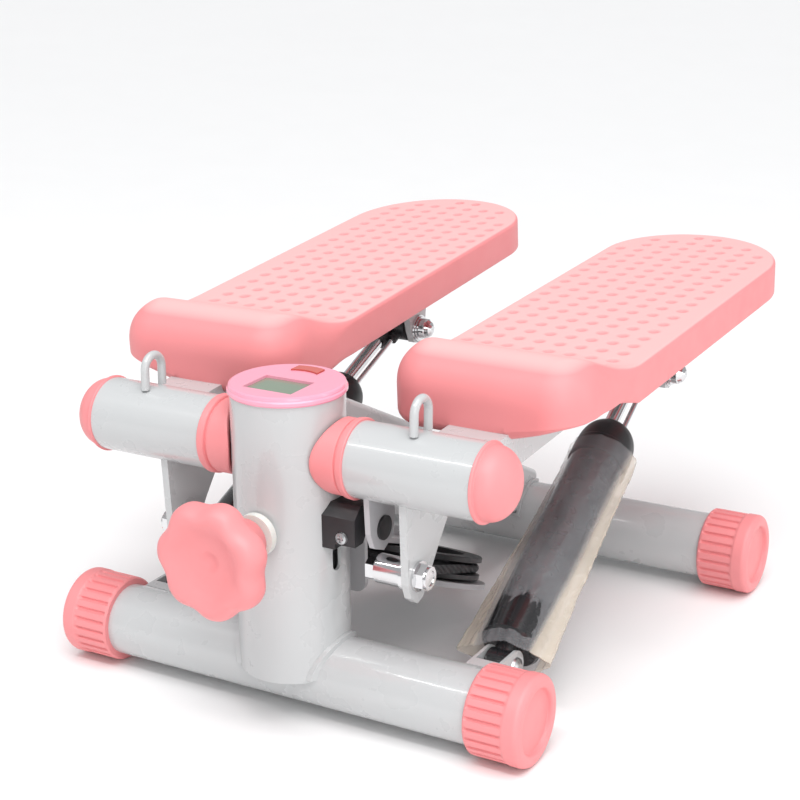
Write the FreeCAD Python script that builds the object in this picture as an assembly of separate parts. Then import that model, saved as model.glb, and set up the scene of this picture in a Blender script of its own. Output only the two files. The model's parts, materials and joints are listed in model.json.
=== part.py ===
import FreeCAD, Part
import math
import os

# Two-pedal stepper. Millimetres, +Z up, +X to the machine's right, +Y from the column towards the rear bar.
# Shapes are drawn with the front bar on Y = 0. Every shape is moved back by ORIGIN_Y when it is written, so
# that the origin lies on the floor in the middle of the footprint.

V = FreeCAD.Vector

# ---- frame tubes -------------------------------------------------------------------------------------------
TUBE_R = 19.05
TUBE_WALL = 1.5
COLUMN_R = 28.6
COLUMN_WALL = 1.6
COLUMN_BOTTOM_Z = 24.4
COLUMN_TOP_Z = 169.2
BAR_Z = 23.15
FRONT_HALF = 137.05
REAR_HALF = 162.2
REAR_Y = 244.4
BEAM_W = 30.0
BEAM_H = 30.0
BEAM_TOP_Z = 159.0
BEAM_TOP_Y = 31.0
BEAM_SLOPE = 0.5
BEAM_WALL = 2.0

# ---- foot caps ---------------------------------------------------------------------------------------------
CAP_R = 23.15
CAP_LEN = 29.6
CAP_RIBS = 26

# ---- pivot -------------------------------------------------------------------------------------------------
AXLE_Z = 140.4
AXLE_R = 8.0
AXLE_HALF = 115.0
SLEEVE_IN = 42.1
SLEEVE_OUT = 109.35
SLEEVE_WALL = 2.0
BUSH_IN = 31.2
RUN_CLEAR = 0.05
DOME_APEX = 125.5

# ---- pedals (local frame: pivot at 0, Y along the pedal, Z square to it, X outwards) -------------------------
TILT = {1: 2.64, -1: 3.86}
PEDAL_W = 108.8
PEDAL_MID_X = 83.2
PEDAL_TOE = 0.86
PEDAL_FRONT = 40.0
PEDAL_REAR = 363.8
INNER_KNEE = 312.0
OUTER_KNEE = 302.0
REAR_TIP_X = -3.0
PEDAL_CORNER = 22.0
NOSE_LOW = 2.0
TOE_CENTRE = 210.0
PEDAL_TOP = 25.6
PEDAL_SKIRT = 6.0
PEDAL_SKIN = 2.8
HUMP_TOP = 42.0
ARM_MID_X = 84.5
ARM_HALF = 16.3
ARM_T = 4.0
ARM_LOW = -12.0
ARM_WEB = 8.0
ARM_END = 300.0
LEVER_BOLT_DROP = 54.9
LEVER_BACK = TILT[1]
PIN_Y = 250.0
PIN_DROP = 27.5
SCREW_Y = (90.0, 160.0, 215.0, 285.0)

# ---- hydraulic cylinders -----------------------------------------------------------------------------------
FOOT_X = 99.0
FOOT_Y = 36.0
FOOT_Z = 28.0
EAR_OUT = 8.2
EAR_T = 1.7
BODY_R = 15.7
BODY_START = 12.5
BODY_END = 152.0
CYL_CAP_R = 16.7
CYL_CAP_START = 148.0
CYL_CAP_END = 182.0
ROD_R = 4.1
ROD_X = -3.4
GUIDE_R = 1.5
GUIDE_X = 5.2
YOKE_R = 9.0
YOKE_HALF = 10.4
PIN_R = 4.0
PIN_PLAY = 1.4

# ---- rope and pulley ---------------------------------------------------------------------------------------
WHEEL_Y = 110.0
WHEEL_Z = 41.0
WHEEL_R = 44.5
WHEEL_T = 13.0
GROOVE_R = 38.0
ROPE_R = 2.4
ROPE_PLAY = 0.9
PLATE_R = 48.5
ROPE_END_X = 59.5
WHEEL_TILT = math.degrees(math.atan2(AXLE_Z - LEVER_BOLT_DROP - WHEEL_Z, WHEEL_Y))

# ---- adjuster ----------------------------------------------------------------------------------------------
STUD_Z = 104.3
STUD_R = 4.0
EYELET_X = {1: 74.2, -1: 82.4}
KNOB_R = 29.8
KNOB_DIP = 2.6
KNOB_LOBES = 7
KNOB_FRONT = -76.0
KNOB_T = 16.5

ORIGIN_Y = 143.6


def cyl(radius, p, d, length):
    return Part.makeCylinder(radius, length, p, d)


def along_x(radius, x0, x1, y=0.0, z=0.0):
    return cyl(radius, V(x0, y, z), V(1, 0, 0), x1 - x0)


def box(x0, x1, y0, y1, z0, z1):
    return Part.makeBox(x1 - x0, y1 - y0, z1 - z0, V(x0, y0, z0))


def tube_x(r_out, r_in, x0, x1, y=0.0, z=0.0):
    return along_x(r_out, x0, x1, y, z).cut(along_x(r_in, x0 - 1, x1 + 1, y, z))


def plate_yz(points, x0, x1):
    """A flat plate whose outline is given in (y, z), between two X planes."""
    wire = Part.makePolygon([V(x0, y, z) for y, z in points] + [V(x0, *points[0])])
    return Part.Face(wire).extrude(V(x1 - x0, 0, 0))


def revolve(points, p, d):
    """A turned solid: points are (distance along d, radius), closed back onto the axis."""
    flat = [V(r, 0, a) for a, r in points]
    wire = Part.makePolygon(flat + [flat[0]])
    solid = Part.Face(wire).revolve(V(0, 0, 0), V(0, 0, 1), 360)
    solid.Placement = FreeCAD.Placement(p, FreeCAD.Rotation(V(0, 0, 1), d))
    return solid


def hexagon(across, p, d, length):
    ring = [V(across / math.sqrt(3) * math.cos(math.radians(60 * k)),
              across / math.sqrt(3) * math.sin(math.radians(60 * k)), 0) for k in range(7)]
    solid = Part.Face(Part.makePolygon(ring)).extrude(V(0, 0, length))
    solid.Placement = FreeCAD.Placement(p, FreeCAD.Rotation(V(0, 0, 1), d))
    return solid


def mirror_x(shape):
    return shape.mirror(V(0, 0, 0), V(1, 0, 0))


def export(name, shape):
    out = shape.copy()
    out.translate(V(0, -ORIGIN_Y, 0))
    out.exportStep("parts/" + name + ".step")


# ---- frame -------------------------------------------------------------------------------------------------

def make_column():
    column = cyl(COLUMN_R, V(0, 0, COLUMN_BOTTOM_Z), V(0, 0, 1), COLUMN_TOP_Z - COLUMN_BOTTOM_Z)
    bore = cyl(COLUMN_R - COLUMN_WALL, V(0, 0, COLUMN_BOTTOM_Z - 1), V(0, 0, 1), COLUMN_TOP_Z)
    column = column.cut(bore)
    column = column.cut(along_x(TUBE_R, -60, 60, 0, BAR_Z))
    column = column.cut(along_x(AXLE_R, -60, 60, 0, AXLE_Z))
    column = column.cut(cyl(STUD_R + 3.0, V(0, -40, STUD_Z), V(0, 1, 0), 40))
    column = column.cut(cyl(STUD_R + 0.4, V(0, 0, STUD_Z), V(0, 1, 0), 40))
    column = column.cut(cyl(4.0, V(0, 0, 68), V(0, 1, 0), 40))
    slot = box(0, 40, -6.6, -0.6, 84, 91)
    slot = slot.fuse(along_x(3.0, 0, 40, -3.6, 84)).fuse(along_x(3.0, 0, 40, -3.6, 91))
    return column.cut(slot)


def make_bar(half, y):
    return tube_x(TUBE_R, TUBE_R - TUBE_WALL, -half + 3.2, half - 3.2, y, BAR_Z)


def beam_prism(grow):
    """The sloping beam's box, square in section, before its ends are shaped."""
    run = REAR_Y + 8 - BEAM_TOP_Y
    unit = math.hypot(1.0, BEAM_SLOPE)
    half = BEAM_W / 2 + grow
    top = BEAM_TOP_Z + grow * unit
    low = BEAM_TOP_Z - (BEAM_H + grow) * unit
    y0 = BEAM_TOP_Y - 31
    y1 = BEAM_TOP_Y + run
    points = [(y0, top + 31 * BEAM_SLOPE), (y1, top - run * BEAM_SLOPE)]
    points += [(y1, low - run * BEAM_SLOPE), (y0, low + 31 * BEAM_SLOPE)]
    return plate_yz(points, -half, half)


def make_beam():
    outer = beam_prism(0.0)
    long_edges = [e for e in outer.Edges if abs(e.tangentAt(e.FirstParameter).x) < 0.01
                  and abs(e.tangentAt(e.FirstParameter).y) > 0.8]
    outer = outer.makeFillet(3.0, long_edges)
    beam = outer.cut(beam_prism(-BEAM_WALL))
    beam = beam.cut(cyl(COLUMN_R, V(0, 0, 0), V(0, 0, 1), 220))
    beam = beam.cut(along_x(TUBE_R, -60, 60, REAR_Y, BAR_Z))
    beam = beam.cut(box(-30, 30, REAR_Y - 40, REAR_Y + 40, -30, BAR_Z - 6))
    rear_side = [s for s in beam.Solids if s.Volume > 2000]
    return rear_side[0] if len(rear_side) == 1 else Part.makeCompound(rear_side)


def make_foot_cap(half, y, side):
    x0 = half - CAP_LEN
    cap = revolve([(0, 0), (0, CAP_R - 1.2), (1.2, CAP_R - 0.4), (20.4, CAP_R - 0.9), (21.2, CAP_R),
                   (27.2, CAP_R), (29.0, CAP_R - 1.4), (CAP_LEN, CAP_R - 3.0), (CAP_LEN, CAP_R - 6.2),
                   (CAP_LEN - 1.6, CAP_R - 7.0), (CAP_LEN - 1.6, 0)], V(x0, y, BAR_Z), V(1, 0, 0))
    groove = Part.makeBox(19.0, 2.6, 3.0, V(x0 + 1.4, y - 1.3, BAR_Z + CAP_R - 1.5))
    cuts = []
    for k in range(CAP_RIBS):
        tool = groove.copy()
        tool.rotate(V(0, y, BAR_Z), V(1, 0, 0), (k + 0.5) * 360.0 / CAP_RIBS)
        cuts.append(tool)
    cap = cap.cut(cuts)
    cap = cap.cut(along_x(TUBE_R, x0 - 1, half - 3.2, y, BAR_Z))
    return cap if side > 0 else mirror_x(cap)


def make_welds():
    """The bead where the column sits over the front bar, and the two beads at the ends of the beam."""
    bead = cyl(COLUMN_R + 2.2, V(0, 0, BAR_Z), V(0, 0, 1), 24).cut(cyl(COLUMN_R, V(0, 0, 0), V(0, 0, 1), 60))
    near_bar = along_x(TUBE_R + 2.4, -40, 40, 0, BAR_Z).cut(along_x(TUBE_R, -41, 41, 0, BAR_Z))
    saddle = bead.common(near_bar).cut(box(-60, 60, -60, 60, -5, BAR_Z + 3))
    saddle = saddle.cut(box(-12, 12, -60, 60, 0, 60))
    prism = beam_prism(1.8).cut(beam_prism(0.0))
    ring = cyl(COLUMN_R + 2.2, V(0, 0, 90), V(0, 0, 1), 90).cut(cyl(COLUMN_R, V(0, 0, 80), V(0, 0, 1), 110))
    front = prism.common(ring)
    front = front.cut(box(-40, 40, -40, 15, 0, 200))
    rear_ring = along_x(TUBE_R + 2.0, -30, 30, REAR_Y, BAR_Z)
    rear_ring = rear_ring.cut(along_x(TUBE_R, -31, 31, REAR_Y, BAR_Z))
    rear = prism.common(rear_ring)
    rear = rear.cut(box(-40, 40, REAR_Y - 40, REAR_Y + 40, -10, BAR_Z - 4))
    rear = rear.cut(box(-40, 40, REAR_Y + 7.8, REAR_Y + 40, -10, 80))
    solids = []
    for s in (saddle, front, rear):
        solids += [k for k in s.Solids if k.Volume > 1.5]
    return Part.makeCompound(solids)


def make_axle():
    axle = along_x(AXLE_R, -AXLE_HALF + 9.2, AXLE_HALF - 9.2, 0, AXLE_Z)
    ends = along_x(5.0, -AXLE_HALF, AXLE_HALF, 0, AXLE_Z)
    return axle.fuse(ends).removeSplitter()


def make_axle_nuts():
    x0 = AXLE_HALF - 9.2
    solids = []
    for side in (1, -1):
        washer = along_x(10.0, x0, x0 + 1.6, 0, AXLE_Z)
        nut = hexagon(15.0, V(x0 + 1.6, 0, AXLE_Z), V(1, 0, 0), 6.0)
        one = washer.fuse(nut).cut(along_x(5.0, x0 - 1, x0 + 10, 0, AXLE_Z))
        solids.append(one if side > 0 else mirror_x(one))
    return Part.makeCompound(solids)


def make_foot_bracket(side):
    """Two ears welded on the back of the front bar; the cylinder's lower eye sits between them."""
    ears = []
    for x in (FOOT_X - EAR_OUT, FOOT_X + EAR_OUT - EAR_T):
        ear = box(x, x + EAR_T, 8, FOOT_Y, FOOT_Z - 9.5, FOOT_Z + 9.5)
        ear = ear.fuse(along_x(9.5, x, x + EAR_T, FOOT_Y, FOOT_Z))
        ears.append(ear)
    web = box(FOOT_X - EAR_OUT, FOOT_X + EAR_OUT, 14, 21.5, FOOT_Z - 9.5, FOOT_Z + 9.5)
    bracket = ears[0].fuse(ears[1]).fuse(web).removeSplitter()
    bracket = bracket.cut(along_x(TUBE_R, 0, 200, 0, BAR_Z))
    bracket = bracket.cut(along_x(PIN_R, 0, 200, FOOT_Y, FOOT_Z))
    return bracket if side > 0 else mirror_x(bracket)


def make_foot_pins():
    """Riveted pins: a formed head outside each ear."""
    pins = []
    for side in (1, -1):
        x0 = FOOT_X - EAR_OUT
        x1 = FOOT_X + EAR_OUT
        head = revolve([(0, 0), (0, 7.0), (1.0, 6.8), (2.4, 4.4), (2.8, 0)], V(x0, FOOT_Y, FOOT_Z), V(-1, 0, 0))
        tail = revolve([(0, 0), (0, 6.2), (1.2, 5.8), (2.6, 3.4), (2.8, 0)], V(x1, FOOT_Y, FOOT_Z), V(1, 0, 0))
        pin = along_x(PIN_R, x0 - 0.5, x1 + 0.5, FOOT_Y, FOOT_Z).fuse([head, tail]).removeSplitter()
        pins.append(pin if side > 0 else mirror_x(pin))
    return Part.makeCompound(pins)


# ---- display on the column ---------------------------------------------------------------------------------

def make_display_housing():
    z = COLUMN_TOP_Z
    body = revolve([(-12, 0), (-12, COLUMN_R - COLUMN_WALL - 0.2), (0, COLUMN_R - COLUMN_WALL - 0.2),
                    (0, COLUMN_R + 0.6), (0.8, COLUMN_R + 1.2), (2.2, COLUMN_R + 1.2), (2.9, COLUMN_R + 0.5),
                    (3.4, COLUMN_R + 0.5), (4.4, COLUMN_R + 0.2), (4.9, COLUMN_R - 0.9), (4.9, 0)],
                   V(0, 0, z), V(0, 0, 1))
    top = z + 4.9
    window = box(-14.0, 14.0, -18.2, 2.8, top - 2.2, top + 1)
    body = body.cut(window)
    body = body.cut(box(-12.0, 12.0, -16.4, 1.0, top - 6.0, top))
    return body.cut(button_prism(0.35, top - 3.4, top + 1))


def button_prism(grow, z0, z1):
    """A crescent: the overlap of two discs at the rear of the display."""
    rear = cyl(23.5 + grow, V(0, 0, z0), V(0, 0, 1), z1 - z0)
    front = cyl(16.5 - grow, V(0, 0.4, z0), V(0, 0, 1), z1 - z0)
    blade = rear.cut(front)
    return blade.common(box(-7.6 - grow, 7.6 + grow, 8, 30, z0, z1))


def make_display_screen():
    top = COLUMN_TOP_Z + 4.9
    glass = box(-13.9, 13.9, -18.1, 2.7, top - 2.2, top - 1.3)
    return glass.fuse(box(-11.9, 11.9, -16.3, 0.9, top - 5.9, top - 2.2)).removeSplitter()


def make_display_button():
    top = COLUMN_TOP_Z + 4.9
    return button_prism(0.0, top - 2.4, top + 0.7)


# ---- counter sensor on the column --------------------------------------------------------------------------

def make_sensor():
    body = plate_yz([(-12.5, 99.0), (-12.5, 113.0), (-7.0, 118.5), (6.0, 118.5), (9.5, 116.0), (9.5, 101.5),
                     (3.0, 104.0), (-1.0, 104.0), (-5.0, 99.0)], 24, 44.5)
    foot = plate_yz([(-12.5, 96.0), (-12.5, 113.0), (-5.5, 115.0), (-5.5, 96.0)], 24, 33.0)
    body = body.fuse(foot).removeSplitter()
    body = body.cut(cyl(COLUMN_R, V(0, 0, 60), V(0, 0, 1), 90))
    return body.cut(cyl(1.6, V(37.0, -20, 102.8), V(0, 1, 0), 14.0))


def make_sensor_screw():
    head = revolve([(0, 0), (0, 3.2), (1.0, 2.9), (1.7, 1.6), (1.7, 0)], V(37.0, -12.5, 102.8), V(0, -1, 0))
    shank = cyl(1.6, V(37.0, -12.5, 102.8), V(0, 1, 0), 6.0)
    screw = head.fuse(shank)
    slot_a = box(35.2, 38.8, -15.0, -13.4, 102.4, 103.2)
    slot_b = box(36.6, 37.4, -15.0, -13.4, 101.0, 104.6)
    return screw.cut([slot_a, slot_b])


# ---- adjuster ----------------------------------------------------------------------------------------------

def make_collar():
    """The plain bush in the column's front wall that the stud turns in."""
    collar = cyl(STUD_R + 3.0, V(0, -31.0, STUD_Z), V(0, 1, 0), 8.0)
    flange = cyl(STUD_R + 7.0, V(0, -34.0, STUD_Z), V(0, 1, 0), 4.0)
    collar = collar.fuse(flange).cut(cyl(COLUMN_R, V(0, 0, 60), V(0, 0, 1), 90).cut(
        cyl(STUD_R + 3.0, V(0, -60, STUD_Z), V(0, 1, 0), 60)))
    collar = collar.removeSplitter()
    return collar.cut(cyl(STUD_R + RUN_CLEAR, V(0, -40, STUD_Z), V(0, 1, 0), 30))


def make_knob():
    steps = 8 * KNOB_LOBES
    ring = []
    for k in range(steps):
        a = 2 * math.pi * k / steps
        r = KNOB_R - KNOB_DIP * (1 - math.cos(KNOB_LOBES * a)) / 2
        ring.append(V(r * math.sin(a), 0, r * math.cos(a)))
    curve = Part.BSplineCurve()
    curve.interpolate(ring, PeriodicFlag=True)
    face = Part.Face(Part.Wire(curve.toShape()))
    prism = face.extrude(V(0, KNOB_T + 2, 0))
    prism.translate(V(0, KNOB_FRONT - 1, STUD_Z))
    back = KNOB_FRONT + KNOB_T
    lens = revolve([(0, 0), (0, 9.4), (-2.6, 15.6), (-3.4, 19.8), (-2.6, 24.2), (1.0, 28.0), (5.0, 29.7),
                    (9.5, 29.9), (13.5, 27.4), (KNOB_T, 21.0), (KNOB_T, 0)],
                   V(0, KNOB_FRONT + 3.4, STUD_Z), V(0, 1, 0))
    knob = prism.common(lens)
    hub = revolve([(0, 0), (0, 14.6), (6.0, 12.0), (20.4, 11.0), (20.4, 0)], V(0, back + 1.0, STUD_Z), V(0, 1, 0))
    knob = knob.fuse(hub).removeSplitter()
    return knob.cut(cyl(STUD_R, V(0, KNOB_FRONT + 8, STUD_Z), V(0, 1, 0), 40))


def make_stud():
    stud = cyl(STUD_R, V(0, KNOB_FRONT + 8, STUD_Z), V(0, 1, 0), 60 - KNOB_FRONT - 8)
    return stud.makeChamfer(0.8, [e for e in stud.Edges if abs(e.BoundBox.YMin - 60) < 0.01])


def make_guide_rod():
    rod = cyl(4.0, V(0, COLUMN_R - 6, 68.0), V(0, 1, 0), 34)
    return rod.makeChamfer(0.8, [e for e in rod.Edges if e.BoundBox.YMin > COLUMN_R + 20])


# ---- rope, pulley and carriage -----------------------------------------------------------------------------

def tilt_to_wheel(shape):
    """Moves a shape drawn about the origin, wheel axis on Z, to the tilted wheel plane."""
    shape.rotate(V(0, 0, 0), V(1, 0, 0), -WHEEL_TILT)
    shape.translate(V(0, WHEEL_Y, WHEEL_Z))
    return shape


def make_wheel():
    h = WHEEL_T / 2
    g = ROPE_R + 0.35
    wheel = revolve([(-h, 7.0), (-h, WHEEL_R - 0.6), (-h + 0.6, WHEEL_R), (-g - 0.8, WHEEL_R), (-g, WHEEL_R - 2.5),
                     (-g, GROOVE_R + 1.5), (-g + 1.5, GROOVE_R), (g - 1.5, GROOVE_R), (g, GROOVE_R + 1.5),
                     (g, WHEEL_R - 2.5), (g + 0.8, WHEEL_R), (h - 0.6, WHEEL_R), (h, WHEEL_R - 0.6), (h, 7.0)],
                    V(0, 0, 0), V(0, 0, 1))
    for z0 in (-h - 1, h - 3.0):
        ring = cyl(34.0, V(0, 0, z0), V(0, 0, 1), 4.0).cut(cyl(13.0, V(0, 0, z0), V(0, 0, 1), 4.0))
        wheel = wheel.cut(ring)
    wheel = wheel.cut(cyl(5.0 + RUN_CLEAR, V(0, 0, -20), V(0, 0, 1), 40))
    hub = cyl(13.0, V(0, 0, -h), V(0, 0, 1), WHEEL_T).cut(cyl(5.0 + RUN_CLEAR, V(0, 0, -20), V(0, 0, 1), 40))
    return tilt_to_wheel(wheel.fuse(hub).removeSplitter())


def rope_path():
    """Half of the rope in the wheel plane: the tangent point and the end at the lever."""
    ring = GROOVE_R + ROPE_R + 0.75
    reach = math.hypot(WHEEL_Y, AXLE_Z - LEVER_BOLT_DROP - WHEEL_Z)
    end = (ROPE_END_X, -reach)
    dist = math.hypot(*end)
    turn = math.atan2(end[1], end[0]) + math.acos(ring / dist)
    touch = (ring * math.cos(turn), ring * math.sin(turn))
    back = ((end[0] - touch[0]) / math.hypot(end[0] - touch[0], end[1] - touch[1]),
            (end[1] - touch[1]) / math.hypot(end[0] - touch[0], end[1] - touch[1]))
    stop = (end[0] - back[0] * 13.0, end[1] - back[1] * 13.0)
    return ring, touch, stop, back


def make_rope():
    ring, touch, stop, back = rope_path()
    right = V(stop[0], stop[1], 0)
    left = V(-stop[0], stop[1], 0)
    touch_r = V(touch[0], touch[1], 0)
    touch_l = V(-touch[0], touch[1], 0)
    arc = Part.Arc(touch_r, V(0, ring, 0), touch_l).toShape()
    path = Part.Wire([Part.LineSegment(right, touch_r).toShape(), arc, Part.LineSegment(touch_l, left).toShape()])
    disc = Part.Wire(Part.Circle(right, V(back[0], back[1], 0), ROPE_R).toShape())
    rope = path.makePipeShell([disc], True, False)
    return tilt_to_wheel(rope)


def make_carriage():
    low = -WHEEL_T / 2 - 4.2
    disc = cyl(PLATE_R, V(0, 0, low), V(0, 0, 1), 3.0)
    front = -(WHEEL_Y - 29.0) / math.cos(math.radians(WHEEL_TILT))
    tongue = box(-21.5, 21.5, front, 0, low, low + 3.0)
    upper = box(-13.0, 13.0, front, 0, -low - 3.0, -low).fuse(cyl(13.0, V(0, 0, -low - 3.0), V(0, 0, 1), 3.0))
    arms = disc.fuse(tongue).fuse(upper).cut(cyl(5.0, V(0, 0, -40), V(0, 0, 1), 80))
    arms = tilt_to_wheel(arms)
    arms = arms.cut(box(-60, 60, 0, 34.6, 0, 130))
    back = box(-21.5, 21.5, 34.0, 37.0, 52.0, 112.0)
    back = back.makeFillet(6.0, [e for e in back.Edges if abs(e.tangentAt(e.FirstParameter).y) > 0.9])
    carriage = arms.fuse(back)
    nut = hexagon(16.0, V(0, 37.0, STUD_Z), V(0, 1, 0), 9.0)
    carriage = carriage.fuse(nut)
    guide = cyl(7.0, V(0, 36.0, 68.0), V(0, 1, 0), 9.0)
    carriage = carriage.fuse(guide).removeSplitter()
    carriage = carriage.cut(cyl(STUD_R + RUN_CLEAR, V(0, 20, STUD_Z), V(0, 1, 0), 60))
    return carriage.cut(cyl(4.0 + RUN_CLEAR, V(0, 20, 68.0), V(0, 1, 0), 60))


def make_wheel_bolt():
    low = -WHEEL_T / 2 - 4.2
    shank = cyl(5.0, V(0, 0, low - 1.0), V(0, 0, 1), -2 * low + 7.0)
    head = revolve([(0, 0), (0, 8.5), (1.4, 8.5), (4.2, 6.0), (5.0, 0)], V(0, 0, low), V(0, 0, -1))
    nut = hexagon(15.0, V(0, 0, -low), V(0, 0, 1), 5.2)
    return tilt_to_wheel(shank.fuse(head).fuse(nut).removeSplitter())


# ---- pedal, in its own frame -------------------------------------------------------------------------------

def place(shape, side):
    out = shape.copy() if side > 0 else mirror_x(shape)
    out.rotate(V(0, 0, 0), V(1, 0, 0), TILT[side])
    out.translate(V(0, 0, AXLE_Z))
    return out


def make_sleeve():
    return tube_x(TUBE_R, TUBE_R - SLEEVE_WALL, SLEEVE_IN, SLEEVE_OUT)


def make_inner_bush():
    bush = revolve([(0, 0), (0, 15.2), (1.0, 16.8), (4.0, 18.4), (8.0, 18.9), (8.2, TUBE_R + 0.8),
                    (8.8, TUBE_R + 1.2), (10.4, TUBE_R + 1.2), (SLEEVE_IN - BUSH_IN, TUBE_R + 0.7),
                    (SLEEVE_IN - BUSH_IN, TUBE_R - SLEEVE_WALL), (30.0, TUBE_R - SLEEVE_WALL), (30.0, 0)],
                   V(BUSH_IN, 0, 0), V(1, 0, 0))
    return bush.cut(along_x(AXLE_R + RUN_CLEAR, 0, 100))


def make_outer_bush():
    x1 = AXLE_HALF - 9.2 - 0.35
    bush = along_x(TUBE_R - SLEEVE_WALL, x1 - 20, x1)
    return bush.cut(along_x(AXLE_R + RUN_CLEAR, 0, 140))


def make_dome():
    cap = revolve([(SLEEVE_OUT - 2.0, 0), (SLEEVE_OUT - 2.0, TUBE_R - SLEEVE_WALL),
                   (SLEEVE_OUT, TUBE_R - SLEEVE_WALL), (SLEEVE_OUT, TUBE_R + 0.3), (SLEEVE_OUT + 0.7, TUBE_R + 0.9),
                   (SLEEVE_OUT + 1.8, TUBE_R + 0.6), (SLEEVE_OUT + 2.3, TUBE_R - 0.3),
                   (SLEEVE_OUT + 6.0, TUBE_R - 1.6), (SLEEVE_OUT + 10.0, TUBE_R - 4.6),
                   (SLEEVE_OUT + 13.4, TUBE_R - 9.4), (SLEEVE_OUT + 15.4, TUBE_R - 14.2), (DOME_APEX, 0)],
                  V(0, 0, 0), V(1, 0, 0))
    hollow = revolve([(SLEEVE_OUT - 3.0, 0), (SLEEVE_OUT - 3.0, 14.6), (SLEEVE_OUT + 4.5, 14.6),
                      (SLEEVE_OUT + 8.5, 11.0), (SLEEVE_OUT + 11.5, 5.0), (SLEEVE_OUT + 12.2, 0)],
                     V(0, 0, 0), V(1, 0, 0))
    return cap.cut(hollow)


def make_eyelet(side):
    """A bent wire loop welded on top of the sleeve."""
    x = EYELET_X[side]
    half = 6.9
    low = 18.4
    bend = 28.2
    a = V(x, -half, low)
    b = V(x, -half, bend)
    top = V(x, 0, bend + half)
    c = V(x, half, bend)
    d = V(x, half, low)
    path = Part.Wire([Part.LineSegment(a, b).toShape(), Part.Arc(b, top, c).toShape(),
                      Part.LineSegment(c, d).toShape()])
    disc = Part.Wire(Part.Circle(a, V(0, 0, 1), 2.2).toShape())
    loop = path.makePipeShell([disc], True, False)
    loop = loop.cut(along_x(TUBE_R, 0, 150))
    loop.rotate(V(0, 0, 0), V(1, 0, 0), -5.0)
    return loop


def lever_outline():
    drop = LEVER_BOLT_DROP
    return [(-11.0, -10.0), (-9.8, -44.0), (-9.4, -drop - 2.0), (-6.2, -drop - 10.0), (-0.5, -drop - 14.2),
            (5.0, -drop - 12.6), (8.4, -drop - 8.0), (21.0, -46.0), (31.0, -34.0), (49.0, -8.0), (14.0, -8.0)]


def swing_lever(shape):
    """Turns a piece drawn straight below the axle so that it hangs plumb on the right pedal at rest."""
    shape.rotate(V(0, 0, 0), V(1, 0, 0), -LEVER_BACK)
    return shape


def lever_point(side):
    """Centre line of the lever bolt on that side, in the machine's frame, at X = 0."""
    t = math.radians(TILT[side] - LEVER_BACK)
    return V(0, LEVER_BOLT_DROP * math.sin(t), AXLE_Z - LEVER_BOLT_DROP * math.cos(t))


def make_arm():
    """The folded steel arm: a channel under the pedal whose inner side runs on down as the rope lever."""
    x0 = ARM_MID_X - ARM_HALF
    x1 = ARM_MID_X + ARM_HALF
    side_line = [(10.0, ARM_LOW), (10.0, ARM_WEB), (ARM_END, ARM_WEB), (ARM_END, 0.0), (ARM_END - 20, ARM_LOW),
                 (PIN_Y + 12, ARM_LOW), (PIN_Y + 9, -PIN_DROP), (PIN_Y + 6, -PIN_DROP - 8.0),
                 (PIN_Y, -PIN_DROP - 10.0), (PIN_Y - 6, -PIN_DROP - 8.0), (PIN_Y - 9, -PIN_DROP),
                 (PIN_Y - 12, ARM_LOW)]
    inner = plate_yz(side_line, x0, x0 + ARM_T)
    outer = plate_yz(side_line, x1 - ARM_T, x1)
    web = box(x0, x1, 10.0, ARM_END, ARM_WEB - 3.0, ARM_WEB)
    lever = swing_lever(plate_yz(lever_outline(), x0, x0 + ARM_T))
    arm = inner.fuse([outer, web, lever]).removeSplitter()
    arm = arm.cut(along_x(TUBE_R, 0, 150))
    arm = arm.cut(along_x(PIN_R, 0, 150, PIN_Y, -PIN_DROP))
    arm = arm.cut(swing_lever(along_x(PIN_R, 0, 90, 0, -LEVER_BOLT_DROP)))
    holes = [cyl(2.0, V(ARM_MID_X, y, 0), V(0, 0, 1), 20) for y in SCREW_Y]
    return arm.cut(holes)


def nose_line(inset):
    """Side view of the pedal cover: front face, hump, valley and flat top, moved in by inset."""
    i = inset
    f = PEDAL_FRONT + i
    toe = Part.Arc(V(0, f + 6.0, NOSE_LOW), V(0, f + 1.76, NOSE_LOW + 1.76), V(0, f, NOSE_LOW + 6.0)).toShape()
    front = Part.LineSegment(V(0, f, NOSE_LOW + 6.0), V(0, f, 20.0)).toShape()
    hump = Part.BSplineCurve()
    hump.interpolate([V(0, f, 20.0), V(0, f + 1.7, 30.2 - 0.4 * i), V(0, f + 5.2, 36.0 - 0.8 * i),
                      V(0, f + 12.0, 40.6 - i), V(0, f + 22.0, HUMP_TOP - i), V(0, 72.0, 40.0 - i),
                      V(0, 82.0, 35.8 - i), V(0, 94.0, 30.4 - i), V(0, 105.0, 27.0 - i),
                      V(0, 118.0, PEDAL_TOP - i)],
                     InitialTangent=V(0, 0, 6), FinalTangent=V(0, 14, 0))
    tail = PEDAL_REAR + 4
    edges = [toe, front, hump.toShape(),
             Part.LineSegment(V(0, 118.0, PEDAL_TOP - i), V(0, tail, PEDAL_TOP - i)).toShape(),
             Part.LineSegment(V(0, tail, PEDAL_TOP - i), V(0, tail, PEDAL_SKIRT)).toShape(),
             Part.LineSegment(V(0, tail, PEDAL_SKIRT), V(0, 104.0, PEDAL_SKIRT)).toShape(),
             Part.LineSegment(V(0, 104.0, PEDAL_SKIRT), V(0, 84.0, NOSE_LOW)).toShape(),
             Part.LineSegment(V(0, 84.0, NOSE_LOW), V(0, f + 6.0, NOSE_LOW)).toShape()]
    return Part.Wire(edges)


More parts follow.
